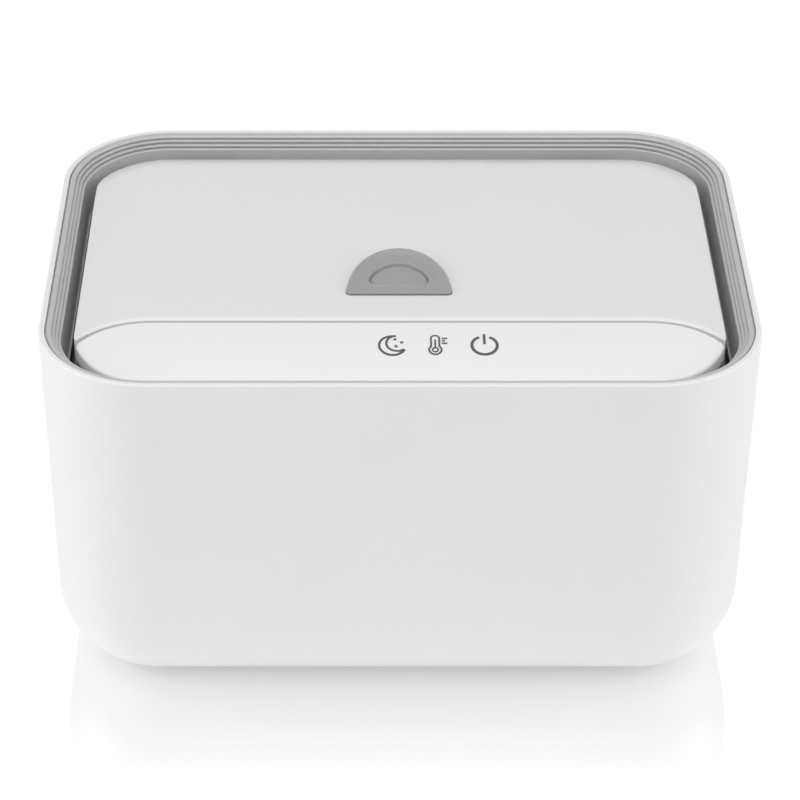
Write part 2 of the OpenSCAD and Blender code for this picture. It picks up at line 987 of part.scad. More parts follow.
module lid_cover() {
    color("white")
        difference() {
            union() {
                difference() {
                    lid_block();
                    translate([0, 0, skirt_z - 1])
                        linear_extrude(plate_z - skirt_z + 1)
                            lid_plan(lid_wall);
                }
                lid_screw_posts();
            }
            rear_round();
            translate([0, -button_front, plate_z - 1])
                linear_extrude(20)
                    arch(button_gap);
            for (s = [-1, 1])
                translate([s * notch_x - notch_w / 2, axis_y, 0]) {
                    translate([0, 1, skirt_z - 1])
                        cube([notch_w, 20, axis_z - skirt_z + 1]);
                    translate([0, -knuckle_r - 1, skirt_z])
                        cube([notch_w, 2 * knuckle_r + 2, hinge_pocket_z - skirt_z]);
                }
            translate([-tongue_w / 2 - 0.6, -lid_front - 2, slide_z - 0.6])
                cube([tongue_w + 1.2, lid_wall + 4, slide_t + 1.2]);
        }
}

// Lid body with a rounded top edge all round
module lid_block() {
    translate([0, 0, skirt_z])
        linear_extrude(lid_z - skirt_z)
            lid_plan();
}

// Round along the rear top edge
module rear_round() {
    r = lid_rear_r;
    translate([0, isle_y - r, lid_z - r])
        rotate([0, 90, 0])
            difference() {
                translate([-r - 1, 0, -body_w / 2])
                    cube([r + 1, r + 1, body_w]);
                translate([0, 0, -body_w])
                    cylinder(r = r, h = 2 * body_w);
            }
}

module lid_screw_posts() {
    for (p = lid_screw_points)
        translate([p.x, p.y, liner_z])
            difference() {
                cylinder(r = post_r, h = plate_z - liner_z + 0.5);
                translate([0, 0, -1])
                    cylinder(r = screw_r, h = 8);
            }
}

// Half-moon outline with its flat edge on the X axis, grown by g
module arch(g = 0) {
    half_oval(button_r + g, button_len + g);
    translate([-button_r - g, -g])
        square([2 * (button_r + g), g + eps]);
}

// Upper half of an oval, by its half width and its height
module half_oval(hw, len) {
    polygon([for (a = [0:3:180]) [hw * cos(a), len * sin(a)]]);
}

module lid_liner() {
    color("gainsboro")
        difference() {
            union() {
                translate([0, 0, skirt_z])
                    linear_extrude(liner_t)
                        lid_plan(liner_gap);
                for (s = [-1, 1])
                    hinge_arms(s);
                slide_rails();
                spring_seats();
            }
            for (s = [-1, 1]) {
                translate([s * ear_x - ear_w / 2 - side_gap, axis_y - ear_back - ear_depth - 1, skirt_z - 1])
                    cube([ear_w + 2 * side_gap, 20, 30]);
                translate([s * notch_x - notch_w / 2, axis_y + 1, skirt_z - 1])
                    cube([notch_w, 20, liner_t + 2]);
                translate([s * notch_x - notch_w / 2, axis_y, axis_z])
                    rotate([0, 90, 0])
                        cylinder(r = pin_r, h = notch_w);
            }
            for (p = lid_screw_points)
                translate([p.x, p.y, skirt_z - 1])
                    cylinder(r = screw_r + 0.3, h = 5);
        }
}

module hinge_arms(s) {
    for (x = [arm_in_x, arm_out_x])
        translate([s * x - arm_w / 2, axis_y, 0])
            rotate([90, 0, 90])
                linear_extrude(arm_w) {
                    translate([0, axis_z])
                        circle(knuckle_r);
                    translate([-knuckle_r - 3, skirt_z])
                        square([knuckle_r + 3, axis_z - skirt_z]);
                }
}

module slide_rails() {
    for (s = [-1, 1])
        translate([s * (tongue_w / 2 + 1.6) - 1, -lid_front + lid_wall + 3, skirt_z])
            cube([2, lid_front + slide_back - 10, liner_t + slide_t + 0.4]);
    translate([-tongue_w / 2, slide_back + 8, skirt_z])
        cube([tongue_w, 2, liner_t + slide_t + 2]);
}

module spring_seats() {
    for (s = [-1, 1])
        translate([s * button_spring_x, button_spring_y, skirt_z])
            cylinder(r = spring_coil_r - 0.8, h = liner_t + 2.5);
}

module lid_screws() {
    color("silver")
        for (p = lid_screw_points)
            translate([p.x, p.y, skirt_z])
                screw(8, ht = 1);
}

module lid_seal() {
    color("lightgray")
        translate([0, tank_y, 0])
            difference() {
                rounded_block(tank_w / 2 + 2.2, tank_d / 2 + 2.2, tank_r + 2.2, collar_z + fit_gap, skirt_z);
                rounded_block(tank_w / 2 + 0.4, tank_d / 2 + 0.4, tank_r + 0.4, collar_z - 1, skirt_z + 1);
            }
}

module hinge_pins() {
    color("silver")
        for (s = [-1, 1])
            translate([s * notch_x - pin_len / 2, axis_y, axis_z])
                rotate([0, 90, 0])
                    cylinder(r = pin_r, h = pin_len);
}

// Torsion springs: one leg hooks the ear's front face, the other lifts the lid's plate
module hinge_springs() {
    r = pin_r + 0.7;
    leg = ear_back + ear_depth + 0.8;
    coil = helix(r, spring_room - 1.2, 4.5);
    route = concat([[r, -leg, -3], [r, -leg, 0]], coil, [[-r, -leg, spring_room - 1.2]]);
    color("silver")
        for (s = [0, 1])
            mirror([s, 0, 0])
                translate([ear_x + ear_w / 2 + 0.6, axis_y, axis_z])
                    rotate([0, 90, 0])
                        tube(route, 0.35, 6);
}

module release_button() {
    color("darkgray")
        difference() {
            union() {
                translate([0, -button_front, flange_z])
                    linear_extrude(button_top - flange_z)
                        arch();
                translate([0, -button_front, flange_z])
                    linear_extrude(flange_t)
                        arch(flange_w);
                wedge();
            }
            button_face()
                translate([-2 * button_r, -button_r, 0])
                    cube([4 * button_r, 4 * button_r, 10]);
            button_face()
                translate([0, dent_in, -dent_depth])
                    linear_extrude(5)
                        half_oval(dent_r, dent_len);
            for (s = [-1, 1])
                translate([s * button_spring_x, button_spring_y, flange_z - 1])
                    cylinder(r = spring_coil_r + 0.6, h = 2.2);
        }
}

// Plane of the button's top, which rises from its flat edge to its arc
module button_face() {
    translate([0, -button_front, lid_z + button_low])
        rotate([button_tilt, 0, 0])
            children();
}

// Ramp under the button that drives the slide back
module wedge() {
    tip_z = ramp_z + 0.3;
    translate([wedge_w / 2, ramp_y, 0])
        rotate([0, -90, 0])
            linear_extrude(wedge_w)
                polygon([[tip_z, -wedge_len], [tip_z, 0], [tip_z + ramp_rise, ramp_run],
                         [flange_z + 0.5, ramp_run], [flange_z + 0.5, -wedge_len]]);
}

module button_springs() {
    color("silver")
        for (s = [-1, 1])
            translate([s * button_spring_x, button_spring_y, liner_z + spring_wire_r + 0.05])
                tube(helix(spring_coil_r, flange_z + 1.2 - liner_z - 2 * spring_wire_r - 0.1, 6),
                     spring_wire_r, 6);
}

module latch_slide() {
    slot_front = wedge_len + latch_travel + 0.5;
    color("dimgray")
        difference() {
            translate([tongue_w / 2, 0, 0])
                rotate([0, -90, 0])
                    linear_extrude(tongue_w)
                        slide_profile();
            translate([-wedge_w / 2 - 0.5, ramp_y - slot_front, slide_z - 1])
                cube([wedge_w + 1, slot_front, slide_t + 2]);
        }
}

// Side view of the slide, with the bevel that lets the lid snap shut
module slide_profile() {
    polygon([[slide_z, -tongue_tip + slide_t / 2], [slide_z + slide_t / 2, -tongue_tip],
             [slide_z + slide_t, -tongue_tip], [slide_z + slide_t, slide_back],
             [slide_z, slide_back]]);
}

module latch_spring() {
    color("silver")
        translate([0, slide_back + spring_wire_r, slide_z + slide_t / 2])
            rotate([-90, 0, 0])
                tube(helix(1.3, 8 - 2 * spring_wire_r - 0.1, 6), spring_wire_r, 6);
}

outer_shell();
base_cover();
rubber_feet();
base_screws();
deck_frame();
deck_screws();
trim_ring();
control_panel();
panel_screws();
touch_board();
touch_electrodes();
indicator_leds();
latch_keeper();
tank();
tank_gasket();
tank_screws();
heat_spreader();
heater_film();
insulation_pad();
thermal_fuse();
temperature_sensor();
main_board();
board_parts();
board_screws();
power_inlet();
inlet_nut();
heater_leads();
panel_leads();
inlet_leads();
lid_cover();
lid_liner();
lid_screws();
lid_seal();
hinge_pins();
hinge_springs();
release_button();
button_springs();
latch_slide();
latch_spring();
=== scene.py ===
import math

import bmesh
import bpy
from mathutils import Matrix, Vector


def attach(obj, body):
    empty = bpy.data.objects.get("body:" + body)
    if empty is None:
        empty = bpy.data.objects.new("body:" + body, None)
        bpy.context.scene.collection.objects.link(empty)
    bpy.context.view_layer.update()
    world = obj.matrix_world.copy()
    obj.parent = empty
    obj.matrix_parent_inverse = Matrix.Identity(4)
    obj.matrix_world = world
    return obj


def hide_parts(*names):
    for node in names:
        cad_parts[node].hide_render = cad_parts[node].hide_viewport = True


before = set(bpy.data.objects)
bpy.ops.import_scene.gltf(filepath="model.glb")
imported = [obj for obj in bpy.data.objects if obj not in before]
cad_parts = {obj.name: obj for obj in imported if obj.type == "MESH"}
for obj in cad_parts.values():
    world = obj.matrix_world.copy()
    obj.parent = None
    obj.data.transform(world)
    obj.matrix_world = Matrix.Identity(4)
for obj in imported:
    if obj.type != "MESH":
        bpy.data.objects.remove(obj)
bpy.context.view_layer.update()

mm = 0.001
weld = 0.001 * mm           # vertices closer than this are merged
touch = 0.01                # millimetres within which a place counts as met

# the sizes that several pieces share, in millimetres
warmer = {
    "cornerX": 82.5,        # middle of the plan's corner rounds
    "cornerY": 50.5,
    "cornerR": 37.5,
    "rimZ": 132.0,
    "lidZ": 129.0,
    "skirtZ": 112.0,
    "islandX": 82.9,        # middle of the corner round that the lid and the panel share
    "islandR": 25.5,
    "gapArcY": 72.0,        # centre of the arc between the lid and the panel
}


def clearSelection():
    if bpy.context.object and bpy.context.object.mode == "EDIT":
        bpy.ops.object.mode_set(mode="OBJECT")
    bpy.ops.object.select_all(action="DESELECT")


def select(piece):
    clearSelection()
    piece.select_set(True)
    bpy.context.view_layer.objects.active = piece


def edit(piece):
    select(piece)
    bpy.ops.object.mode_set(mode="EDIT")


def leaveEdit():
    bpy.ops.object.mode_set(mode="OBJECT")


def pickVerts(piece, test):
    bpy.ops.mesh.select_mode(type="VERT")
    bpy.ops.mesh.select_all(action="DESELECT")
    work = bmesh.from_edit_mesh(piece.data)
    for vert in work.verts:
        vert.select = test(vert.co / mm)
    work.select_flush_mode()
    bmesh.update_edit_mesh(piece.data)


def pickEdges(piece, test):
    bpy.ops.mesh.select_mode(type="EDGE")
    bpy.ops.mesh.select_all(action="DESELECT")
    work = bmesh.from_edit_mesh(piece.data)
    for edge in work.edges:
        edge.select = test(edge)
    work.select_flush_mode()
    bmesh.update_edit_mesh(piece.data)


def startPoint(name, place):
    # one vertex at a place in millimetres, ready to be extruded
    clearSelection()
    bpy.ops.mesh.primitive_plane_add(size=mm, location=Vector(place) * mm)
    piece = bpy.context.object
    piece.name = name
    bpy.ops.object.transform_apply(location=True)
    bpy.ops.object.mode_set(mode="EDIT")
    bpy.ops.mesh.select_all(action="SELECT")
    bpy.ops.mesh.merge(type="CENTER")
    return piece


def extrudeBy(step):
    bpy.ops.mesh.extrude_region_move(TRANSFORM_OT_translate={"value": Vector(step) * mm})


def roundCorner(piece, place, offset, segments):
    pickVerts(piece, lambda co: (co - Vector(place)).length < touch)
    bpy.ops.mesh.bevel(offset=offset * mm, segments=segments, affect="VERTICES", clamp_overlap=False)


def spinBy(steps, degrees, middle):
    # counter-clockwise in plan for positive degrees
    bpy.ops.mesh.spin(steps=steps, angle=-math.radians(degrees), center=Vector(middle) * mm, axis=(0, 0, 1))


def drawSection(name, points, closed=True):
    # a section that stands at the corner's middle: (distance out, height, corner round, pieces)
    def place(point):
        return Vector((warmer["cornerX"] + point[0], warmer["cornerY"], point[1]))
    piece = startPoint(name, place(points[0]))
    ends = points[1:] + points[:1] if closed else points[1:]
    for before, after in zip(points, ends):
        extrudeBy(place(after) - place(before))
    bpy.ops.mesh.select_all(action="SELECT")
    bpy.ops.mesh.remove_doubles(threshold=weld)
    for i, point in enumerate(points):
        if len(point) > 2:
            along = (place(point) - place(points[i - 1])).normalized()
            away = (place(points[(i + 1) % len(points)]) - place(point)).normalized()
            roundCorner(piece, place(point), point[2] * math.tan(along.angle(away) / 2), point[3])
    return piece


def sweepRound(piece, steps=30):
    # spins the section round one corner, runs it along both sides and mirrors the quarter
    cx = warmer["cornerX"]
    cy = warmer["cornerY"]
    bpy.ops.mesh.select_all(action="SELECT")
    spinBy(steps, 90, (cx, cy, 0))
    bpy.ops.mesh.select_all(action="SELECT")
    bpy.ops.mesh.remove_doubles(threshold=weld)
    pickVerts(piece, lambda co: abs(co.y - cy) < touch and co.x > cx - touch)
    extrudeBy((0, -cy, 0))
    pickVerts(piece, lambda co: abs(co.x - cx) < touch)
    extrudeBy((-cx, 0, 0))
    leaveEdit()
    mirror(piece, (True, True, False))
    closeUp(piece)


def mirror(piece, axes):
    select(piece)
    bpy.ops.object.modifier_add(type="MIRROR")
    flip = piece.modifiers[-1]
    flip.use_axis = axes
    flip.use_clip = True
    flip.merge_threshold = weld
    bpy.ops.object.modifier_apply(modifier=flip.name)


def closeUp(piece):
    # merges what meets and points every face outwards
    edit(piece)
    bpy.ops.mesh.select_all(action="SELECT")
    bpy.ops.mesh.remove_doubles(threshold=2 * weld)
    bpy.ops.mesh.normals_make_consistent(inside=False)
    leaveEdit()


def combine(piece, others, operation):
    for other in others:
        select(piece)
        bpy.ops.object.modifier_add(type="BOOLEAN")
        change = piece.modifiers[-1]
        change.operation = operation
        change.solver = "EXACT"
        change.object = other
        bpy.ops.object.modifier_apply(modifier=change.name)
        bpy.data.objects.remove(other, do_unlink=True)


def cut(piece, *cutters):
    combine(piece, cutters, "DIFFERENCE")


def unite(piece, *others):
    combine(piece, others, "UNION")


def addBlock(name, low, high):
    clearSelection()
    low = Vector(low)
    high = Vector(high)
    bpy.ops.mesh.primitive_cube_add(size=1, location=(low + high) / 2 * mm, scale=(high - low) * mm)
    bpy.context.object.name = name
    bpy.ops.object.transform_apply(location=True, scale=True)
    return bpy.context.object


def addRod(name, place, radius, height, sides=48):
    clearSelection()
    middle = Vector(place) + Vector((0, 0, height / 2))
    bpy.ops.mesh.primitive_cylinder_add(vertices=sides, radius=radius * mm, depth=height * mm,
                                        location=middle * mm)
    bpy.context.object.name = name
    bpy.ops.object.transform_apply(location=True)
    return bpy.context.object


def smooth(piece, angle):
    select(piece)
    bpy.ops.object.shade_smooth_by_angle(angle=math.radians(angle))
    bpy.ops.object.modifier_add(type="WEIGHTED_NORMAL")
    soft = piece.modifiers[-1]
    soft.keep_sharp = True
    bpy.ops.object.modifier_apply(modifier=soft.name)


def drawOutline(name, start, moves):
    # an open chain in plan: ("line", x, y, pieces) or ("arc", middle x, middle y, degrees, steps)
    piece = startPoint(name, start)
    here = Vector(start)
    for move in moves:
        if move[0] == "line":
            goal = Vector((move[1], move[2], here.z))
            for _ in range(move[3]):
                extrudeBy((goal - here) / move[3])
            here = goal
        else:
            middle = Vector((move[1], move[2], here.z))
            turn = math.radians(move[3])
            spinBy(move[4], move[3], middle)
            arm = here - middle
            here = middle + Vector((arm.x * math.cos(turn) - arm.y * math.sin(turn),
                                    arm.x * math.sin(turn) + arm.y * math.cos(turn), 0))
    bpy.ops.mesh.select_all(action="SELECT")
    bpy.ops.mesh.remove_doubles(threshold=weld)
    return piece


def join(name, pieces):
    clearSelection()
    for piece in pieces:
        piece.select_set(True)
    bpy.context.view_layer.objects.active = pieces[0]
    bpy.ops.object.join()
    pieces[0].name = name
    return pieces[0]


def loft(name, rings):
    # half outlines, one level above the other, mirrored, bridged and closed at both ends
    last = len(rings) - 1
    piece = join(name, rings)
    mirror(piece, (True, False, False))
    edit(piece)
    bpy.ops.mesh.select_all(action="SELECT")
    bpy.ops.mesh.remove_doubles(threshold=weld)
    bpy.ops.mesh.select_all(action="SELECT")
    bpy.ops.mesh.bridge_edge_loops()
    for level in (0, last):
        pickVerts(piece, lambda co: abs(co.z - level) < touch)
        bpy.ops.mesh.edge_face_add()
    leaveEdit()
    closeUp(piece)
    return piece


def raiseHalf(piece, tall):
    # mirrors half an outline, fills it and gives it its height
    leaveEdit()
    mirror(piece, (True, False, False))
    edit(piece)
    bpy.ops.mesh.select_all(action="SELECT")
    bpy.ops.mesh.edge_face_add()
    extrudeBy((0, 0, tall))
    leaveEdit()
    closeUp(piece)
    return piece


def setHeights(piece, height):
    # height(level, x, y) in millimetres; the level is the vertex's height so far
    for vert in piece.data.vertices:
        co = vert.co / mm
        vert.co.z = height(co.z, co.x, co.y) * mm


def roundDrop(inset, radius):
    # how far a rounded edge lies below its top, at an inset from the outline
    if inset >= radius:
        return 0
    return radius - math.sqrt(radius ** 2 - (radius - inset) ** 2)


def easeBetween(value, low, high):
    share = min(1, max(0, (value - low) / (high - low)))
    return share * share * (3 - 2 * share)


def bisectAcross(piece, places):
    edit(piece)
    for y in places:
        bpy.ops.mesh.select_all(action="SELECT")
        bpy.ops.mesh.bisect(plane_co=(0, y * mm, 0), plane_no=(0, 1, 0))
    leaveEdit()


def finishPiece(piece, finish, body, replaced=(), angle=35):
    piece.data.materials.clear()
    piece.data.materials.append(finishes[finish])
    smooth(piece, angle)
    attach(piece, body)
    if replaced:
        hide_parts(*replaced)
    print("made", piece.name, len(piece.data.polygons))


def colour(code):
    # a hex sRGB colour as the linear values that the nodes take
    def linear(value):
        return value / 12.92 if value <= 0.04045 else ((value + 0.055) / 1.055) ** 2.4
    return tuple(linear(int(code[i:i + 2], 16) / 255) for i in (0, 2, 4)) + (1,)


def addNode(tree, kind, values=None, links=None):
    node = tree.nodes.new(kind)
    for name, value in (values or {}).items():
        if isinstance(name, str) and hasattr(node, name):
            setattr(node, name, value)
        else:
            node.inputs[name].default_value = value
    for name, source in (links or {}).items():
        tree.links.new(source, node.inputs[name])
    return node


def newFinish(name, values):
    material = bpy.data.materials.new(name)
    material.use_nodes = True
    tree = material.node_tree
    shader = tree.nodes["Principled BSDF"]
    for key, value in values.items():
        shader.inputs[key].default_value = value
    place = addNode(tree, "ShaderNodeTexCoord")
    return material, tree, shader, place.outputs["Object"]


moulding = {
    "flow": 45.0,           # millimetres over which gloss and tint wander
    "tone": (0.985, 1.01),
    "gloss": (0.9, 1.12),
    "relief": 0.35,
}


def mouldedPlastic(name, tint, roughness, grain, depth, ior=1.53):
    # injection-moulded plastic: the mould's fine spark-eroded grain, slow changes of gloss where
    # the melt flowed, and a tint that wanders by about one per cent
    material, tree, shader, place = newFinish(name, {"IOR": ior})
    flow = addNode(tree, "ShaderNodeTexNoise", {"Scale": 1 / (moulding["flow"] * mm), "Detail": 2.0},
                   {"Vector": place})
    low, high = moulding["tone"]
    tone = addNode(tree, "ShaderNodeMapRange", {"To Min": low, "To Max": high},
                   {"Value": flow.outputs["Fac"]})
    mix = addNode(tree, "ShaderNodeMix", {"data_type": "RGBA", "blend_type": "MULTIPLY", "Factor": 1.0,
                                          6: colour(tint)}, {7: tone.outputs["Result"]})
    tree.links.new(mix.outputs[2], shader.inputs["Base Color"])
    low, high = moulding["gloss"]
    gloss = addNode(tree, "ShaderNodeMapRange", {"To Min": roughness * low, "To Max": roughness * high},
                    {"Value": flow.outputs["Fac"]})
    tree.links.new(gloss.outputs["Result"], shader.inputs["Roughness"])
    bumps = addNode(tree, "ShaderNodeTexNoise", {"Scale": 1 / (grain * mm), "Detail": 3.0,
                                                 "Roughness": 0.6}, {"Vector": place})
    bump = addNode(tree, "ShaderNodeBump", {"Strength": moulding["relief"], "Distance": depth * mm},
                   {"Height": bumps.outputs["Fac"]})
    tree.links.new(bump.outputs["Normal"], shader.inputs["Normal"])
    return material


rolling = {
    "gloss": (0.75, 1.3),
    "relief": 0.2,
    "depth": 0.02,
}


def rolledMetal(name, tint, roughness, grain, stretch):
    # bare or plated metal: fine lines along the way that it was rolled, drawn or brushed
    material, tree, shader, place = newFinish(name, {"Metallic": 1.0, "Base Color": colour(tint)})
    along = addNode(tree, "ShaderNodeMapping", {"Scale": stretch}, {"Vector": place})
    lines = addNode(tree, "ShaderNodeTexNoise", {"Scale": 1 / (grain * mm), "Detail": 2.0},
                    {"Vector": along.outputs["Vector"]})
    low, high = rolling["gloss"]
    gloss = addNode(tree, "ShaderNodeMapRange", {"To Min": roughness * low, "To Max": roughness * high},
                    {"Value": lines.outputs["Fac"]})
    tree.links.new(gloss.outputs["Result"], shader.inputs["Roughness"])
    bump = addNode(tree, "ShaderNodeBump", {"Strength": rolling["relief"],
                                            "Distance": rolling["depth"] * mm},
                   {"Height": lines.outputs["Fac"]})
    tree.links.new(bump.outputs["Normal"], shader.inputs["Normal"])
    return material


# each finish: its colour, its roughness, the size of its grain in millimetres, and the grain's depth
# or, for metals, how its lines are stretched
finishes = {
    # white ABS, moulded in a finely textured tool: soft satin with no mirror in it
    "housingAbs": mouldedPlastic("housingAbs", "E9E9E9", 0.42, 0.5, 0.02),
    # white ABS, polished a little further: the lid shows faint soft reflections
    "lidAbs": mouldedPlastic("lidAbs", "E5E5E6", 0.3, 0.7, 0.012),
    # white ABS, polished tool, over the touch fields; tinted lighter than the lid's white ABS as painted
    # light, for the brighter light that its forward-tilted face catches
    "panelAbs": mouldedPlastic("panelAbs", "F0F0F0", 0.24, 0.9, 0.008),
    # silver-grey moulded ABS with a satin tool finish: ribs catch the light along their edges
    "trimAbs": mouldedPlastic("trimAbs", "BCBCBC", 0.33, 0.5, 0.015),
    # mid-grey moulded ABS, satin, where the thumb rubs
    "buttonAbs": mouldedPlastic("buttonAbs", "9A9A9A", 0.4, 0.4, 0.02),
    # pale matt ABS of the base
    "baseAbs": mouldedPlastic("baseAbs", "D9D9D8", 0.55, 0.6, 0.03),
    # grey glass-filled nylon of the inner frame: matt, slightly speckled; drawn dark grey as painted shade,
    # so the deep moat between lid and trim reads dark
    "frameNylonPaintedShade": mouldedPlastic("frameNylonPaintedShade", "5A5B5C", 0.6, 0.8, 0.04),
    # white polypropylene of the chamber and the lid's underside: waxy soft gloss
    "tankPolypropylene": mouldedPlastic("tankPolypropylene", "EDEDEC", 0.35, 1.2, 0.02, ior=1.49),
    # moulded silicone: soft satin grey
    "sealSilicone": mouldedPlastic("sealSilicone", "C4C6C6", 0.5, 0.8, 0.03, ior=1.41),
    # moulded rubber: dark and matt
    "footRubber": mouldedPlastic("footRubber", "2B2B2C", 0.78, 0.7, 0.05, ior=1.52),
    # black moulded nylon of sockets, relay and latch: dark satin
    "blackNylon": mouldedPlastic("blackNylon", "161617", 0.5, 0.5, 0.02),
    # glazed ceramic of the fuse, fired: tan and shiny
    "fuseCeramic": mouldedPlastic("fuseCeramic", "B79A6B", 0.22, 0.8, 0.02, ior=1.6),
    # screen-printed dark grey ink of the touch marks: a smooth film with a soft shine
    "inkGrey": mouldedPlastic("inkGrey", "484848", 0.3, 0.4, 0.004),
    # cast milky epoxy of the small lamps: glossy
    "lampEpoxy": mouldedPlastic("lampEpoxy", "EDEBD8", 0.12, 0.8, 0.005, ior=1.55),
    # extruded silicone sleeves of the heater leads: half matt
    "redSleeve": mouldedPlastic("redSleeve", "9E1B1B", 0.5, 0.5, 0.02, ior=1.41),
    # extruded vinyl sleeves of the panel's leads: half matt
    "greySleeve": mouldedPlastic("greySleeve", "6B6B6C", 0.5, 0.5, 0.02, ior=1.5),
    # green solder mask, printed on a glass-epoxy board: smooth and half glossy
    "boardGreen": mouldedPlastic("boardGreen", "1F6B3A", 0.35, 1.0, 0.01),
    # cast polyimide film of the heater: amber and shiny
    "filmAmber": mouldedPlastic("filmAmber", "B9762A", 0.28, 2.0, 0.01, ior=1.7),
    # cut foam pad under the heater: matt, with open cells
    "padFoam": mouldedPlastic("padFoam", "D8D4C8", 0.95, 0.35, 0.25),
    # zinc-plated steel of the screws and the nut: bright and faintly lined
    "zincSteel": rolledMetal("zincSteel", "B9BBBE", 0.3, 0.4, (1, 1, 1)),
    # spring steel, drawn to wire or rolled to strip: darker, with fine lines
    "springSteel": rolledMetal("springSteel", "9FA1A4", 0.25, 0.3, (1, 1, 6)),
    # rolled aluminium of the heat spreader: pale, with long lines across
    "rolledAluminium": rolledMetal("rolledAluminium", "D3D5D8", 0.32, 0.4, (0.04, 1, 1)),
    # plated brass of the touch rings: warm satin metal
    "platedBrass": rolledMetal("platedBrass", "D0A95B", 0.3, 0.3, (1, 1, 1)),
}
print("materials made:", len(finishes))


shell = {
    "rimR": 0.7,
    "rimW": 2.0,
    "lipR": 0.3,            # round of the rim's inner edge
    "wall": 2.5,
    "footZ": 1.2,
    "bottomR": 30.0,
    "draft": 1.0,           # degrees that the walls lean in towards the foot
    "seatZ": 113.3,         # the trim ring stands on this step
    "columns": (98.0, 66.0, 4.5, 105.0),    # places across and to the rear, radius and top
    "bosses": (79.7, 47.7, 3.4, 12.7),      # the same of the base's screw bosses
    "opening": (81.7, 49.7, 14.0),          # half width, half depth and corner of the hole below
    "recess": (85.9, 53.9, 6.2, 3.0),       # the same of the base's recess, and its depth
    "screwR": 1.3,
    "columnBore": 20.0,
    "bossBore": 13.5,
    "inlet": (70.0, 42.0, 5.8),             # place across, height and radius
    "inletSeat": (3.5, 1.0),                # how much wider its flat seat is, and how deep
    "inletLip": 1.2,                        # the hole is this much smaller than the inlet
}


def roundedBlock(name, halfX, halfY, radius, low, high):
    moves = [("line", halfX - radius, halfY, 1), ("arc", halfX - radius, halfY - radius, -90, 10),
             ("line", halfX, radius - halfY, 1), ("arc", halfX - radius, radius - halfY, -90, 10),
             ("line", 0, -halfY, 1)]
    return raiseHalf(drawOutline(name, (0, halfY, low), moves), high - low)


def atCorners(x, y):
    return [(sx * x, sy * y) for sx in (-1, 1) for sy in (-1, 1)]


def addRodBack(name, x, z, radius, front, back):
    # a rod that lies front to back
    clearSelection()
    bpy.ops.mesh.primitive_cylinder_add(vertices=48, radius=radius * mm, depth=(back - front) * mm,
                                        location=Vector((x, (front + back) / 2, z)) * mm,
                                        rotation=(math.pi / 2, 0, 0))
    bpy.context.object.name = name
    bpy.ops.object.transform_apply(location=True, rotation=True)
    return bpy.context.object


def sinkFeet(rod, low, depthAt):
    # the lower end of a rod follows the wall that it stands in
    for vert in rod.data.vertices:
        co = vert.co / mm
        if co.z < low + touch:
            vert.co.z = depthAt(co.x, co.y) * mm
    return rod


def makeShell():
    rim = warmer["rimZ"]
    lean = math.tan(math.radians(shell["draft"]))
    foot = shell["footZ"]
    wall = shell["wall"]

    def outer(z):
        return warmer["cornerR"] - (rim - z) * lean
    seat = shell["seatZ"]
    lip = warmer["cornerR"] - shell["rimW"]
    section = drawSection("shell_skin", [
        (0, foot), (outer(foot), foot, shell["bottomR"], 18), (outer(rim), rim, shell["rimR"], 5),
        (lip, rim, shell["lipR"], 2), (lip, seat), (outer(seat) - wall, seat),
        (outer(foot + wall) - wall, foot + wall, shell["bottomR"] - wall, 12), (0, foot + wall)],
        closed=False)
    sweepRound(section)
    x, y, r, top = shell["columns"]

    def midWall(px, py):
        # height of the wall's middle at a place in the bottom's round
        bend = shell["bottomR"]
        reach = math.hypot(abs(px) - warmer["cornerX"], abs(py) - warmer["cornerY"])
        start = outer(foot) - bend
        return foot + bend - math.sqrt((bend - wall / 2) ** 2 - (reach - start) ** 2)
    low = foot + 1
    bore = shell["screwR"]
    unite(section, *[sinkFeet(addRod("column", (cx, cy, low), r, top - low), low, midWall)
                     for cx, cy in atCorners(x, y)])
    deep = shell["columnBore"]
    cut(section, *[addRod("bore", (cx, cy, top - deep), bore, deep + 10, 24) for cx, cy in atCorners(x, y)])
    x, y, r, top = shell["bosses"]
    unite(section, *[addRod("boss", (cx, cy, low), r, top - low) for cx, cy in atCorners(x, y)])
    halfX, halfY, radius = shell["opening"]
    cut(section, roundedBlock("opening", halfX, halfY, radius, -1, foot + wall + 1))
    halfX, halfY, radius, depth = shell["recess"]
    cut(section, roundedBlock("recess", halfX, halfY, radius, -1, depth))
    cut(section, *[addRod("bore", (cx, cy, 0), bore, shell["bossBore"], 24) for cx, cy in atCorners(x, y)])
    x, z, r = shell["inlet"]
    wider, depth = shell["inletSeat"]
    back = warmer["cornerY"] + outer(z) - depth
    cut(section, addRodBack("seat", x, z, r + wider, back, back + 4),
        addRodBack("hole", x, z, r - shell["inletLip"], back - 20, back + 1))
    finishPiece(section, "housingAbs", "housing", ("outer_shell",))


trim = {
    "outset": 2.1,          # from the outline to the ring
    "ledgeDrop": 0.5,
    "ledgeW": 2.2,
    "ledgeR": 0.7,
    "ribs": 3,
    "ribIn": 1.0,
    "ribDown": 1.25,
    "ribR": 0.4,            # the ribs are soft, not stepped
    "groove": (0.75, 0.5),  # depth and height of the dark line under each rib
    "grooveR": 0.12,
    "grooveDip": 0.05,      # its foot lies this far below the next rib
    "seam": (0.4, 0.8),     # width and depth of the line between rim and ring
    "seamR": 0.2,
    "wallRun": 1.0,         # how far the moat's wall leans in
    "floorW": 0.7,
    "floorR": (0.3, 0.2),   # rounds at both sides of the moat's floor
    "moatZ": 115.5,
    "ringZ": 113.5,
    "leg": 1.7,
}


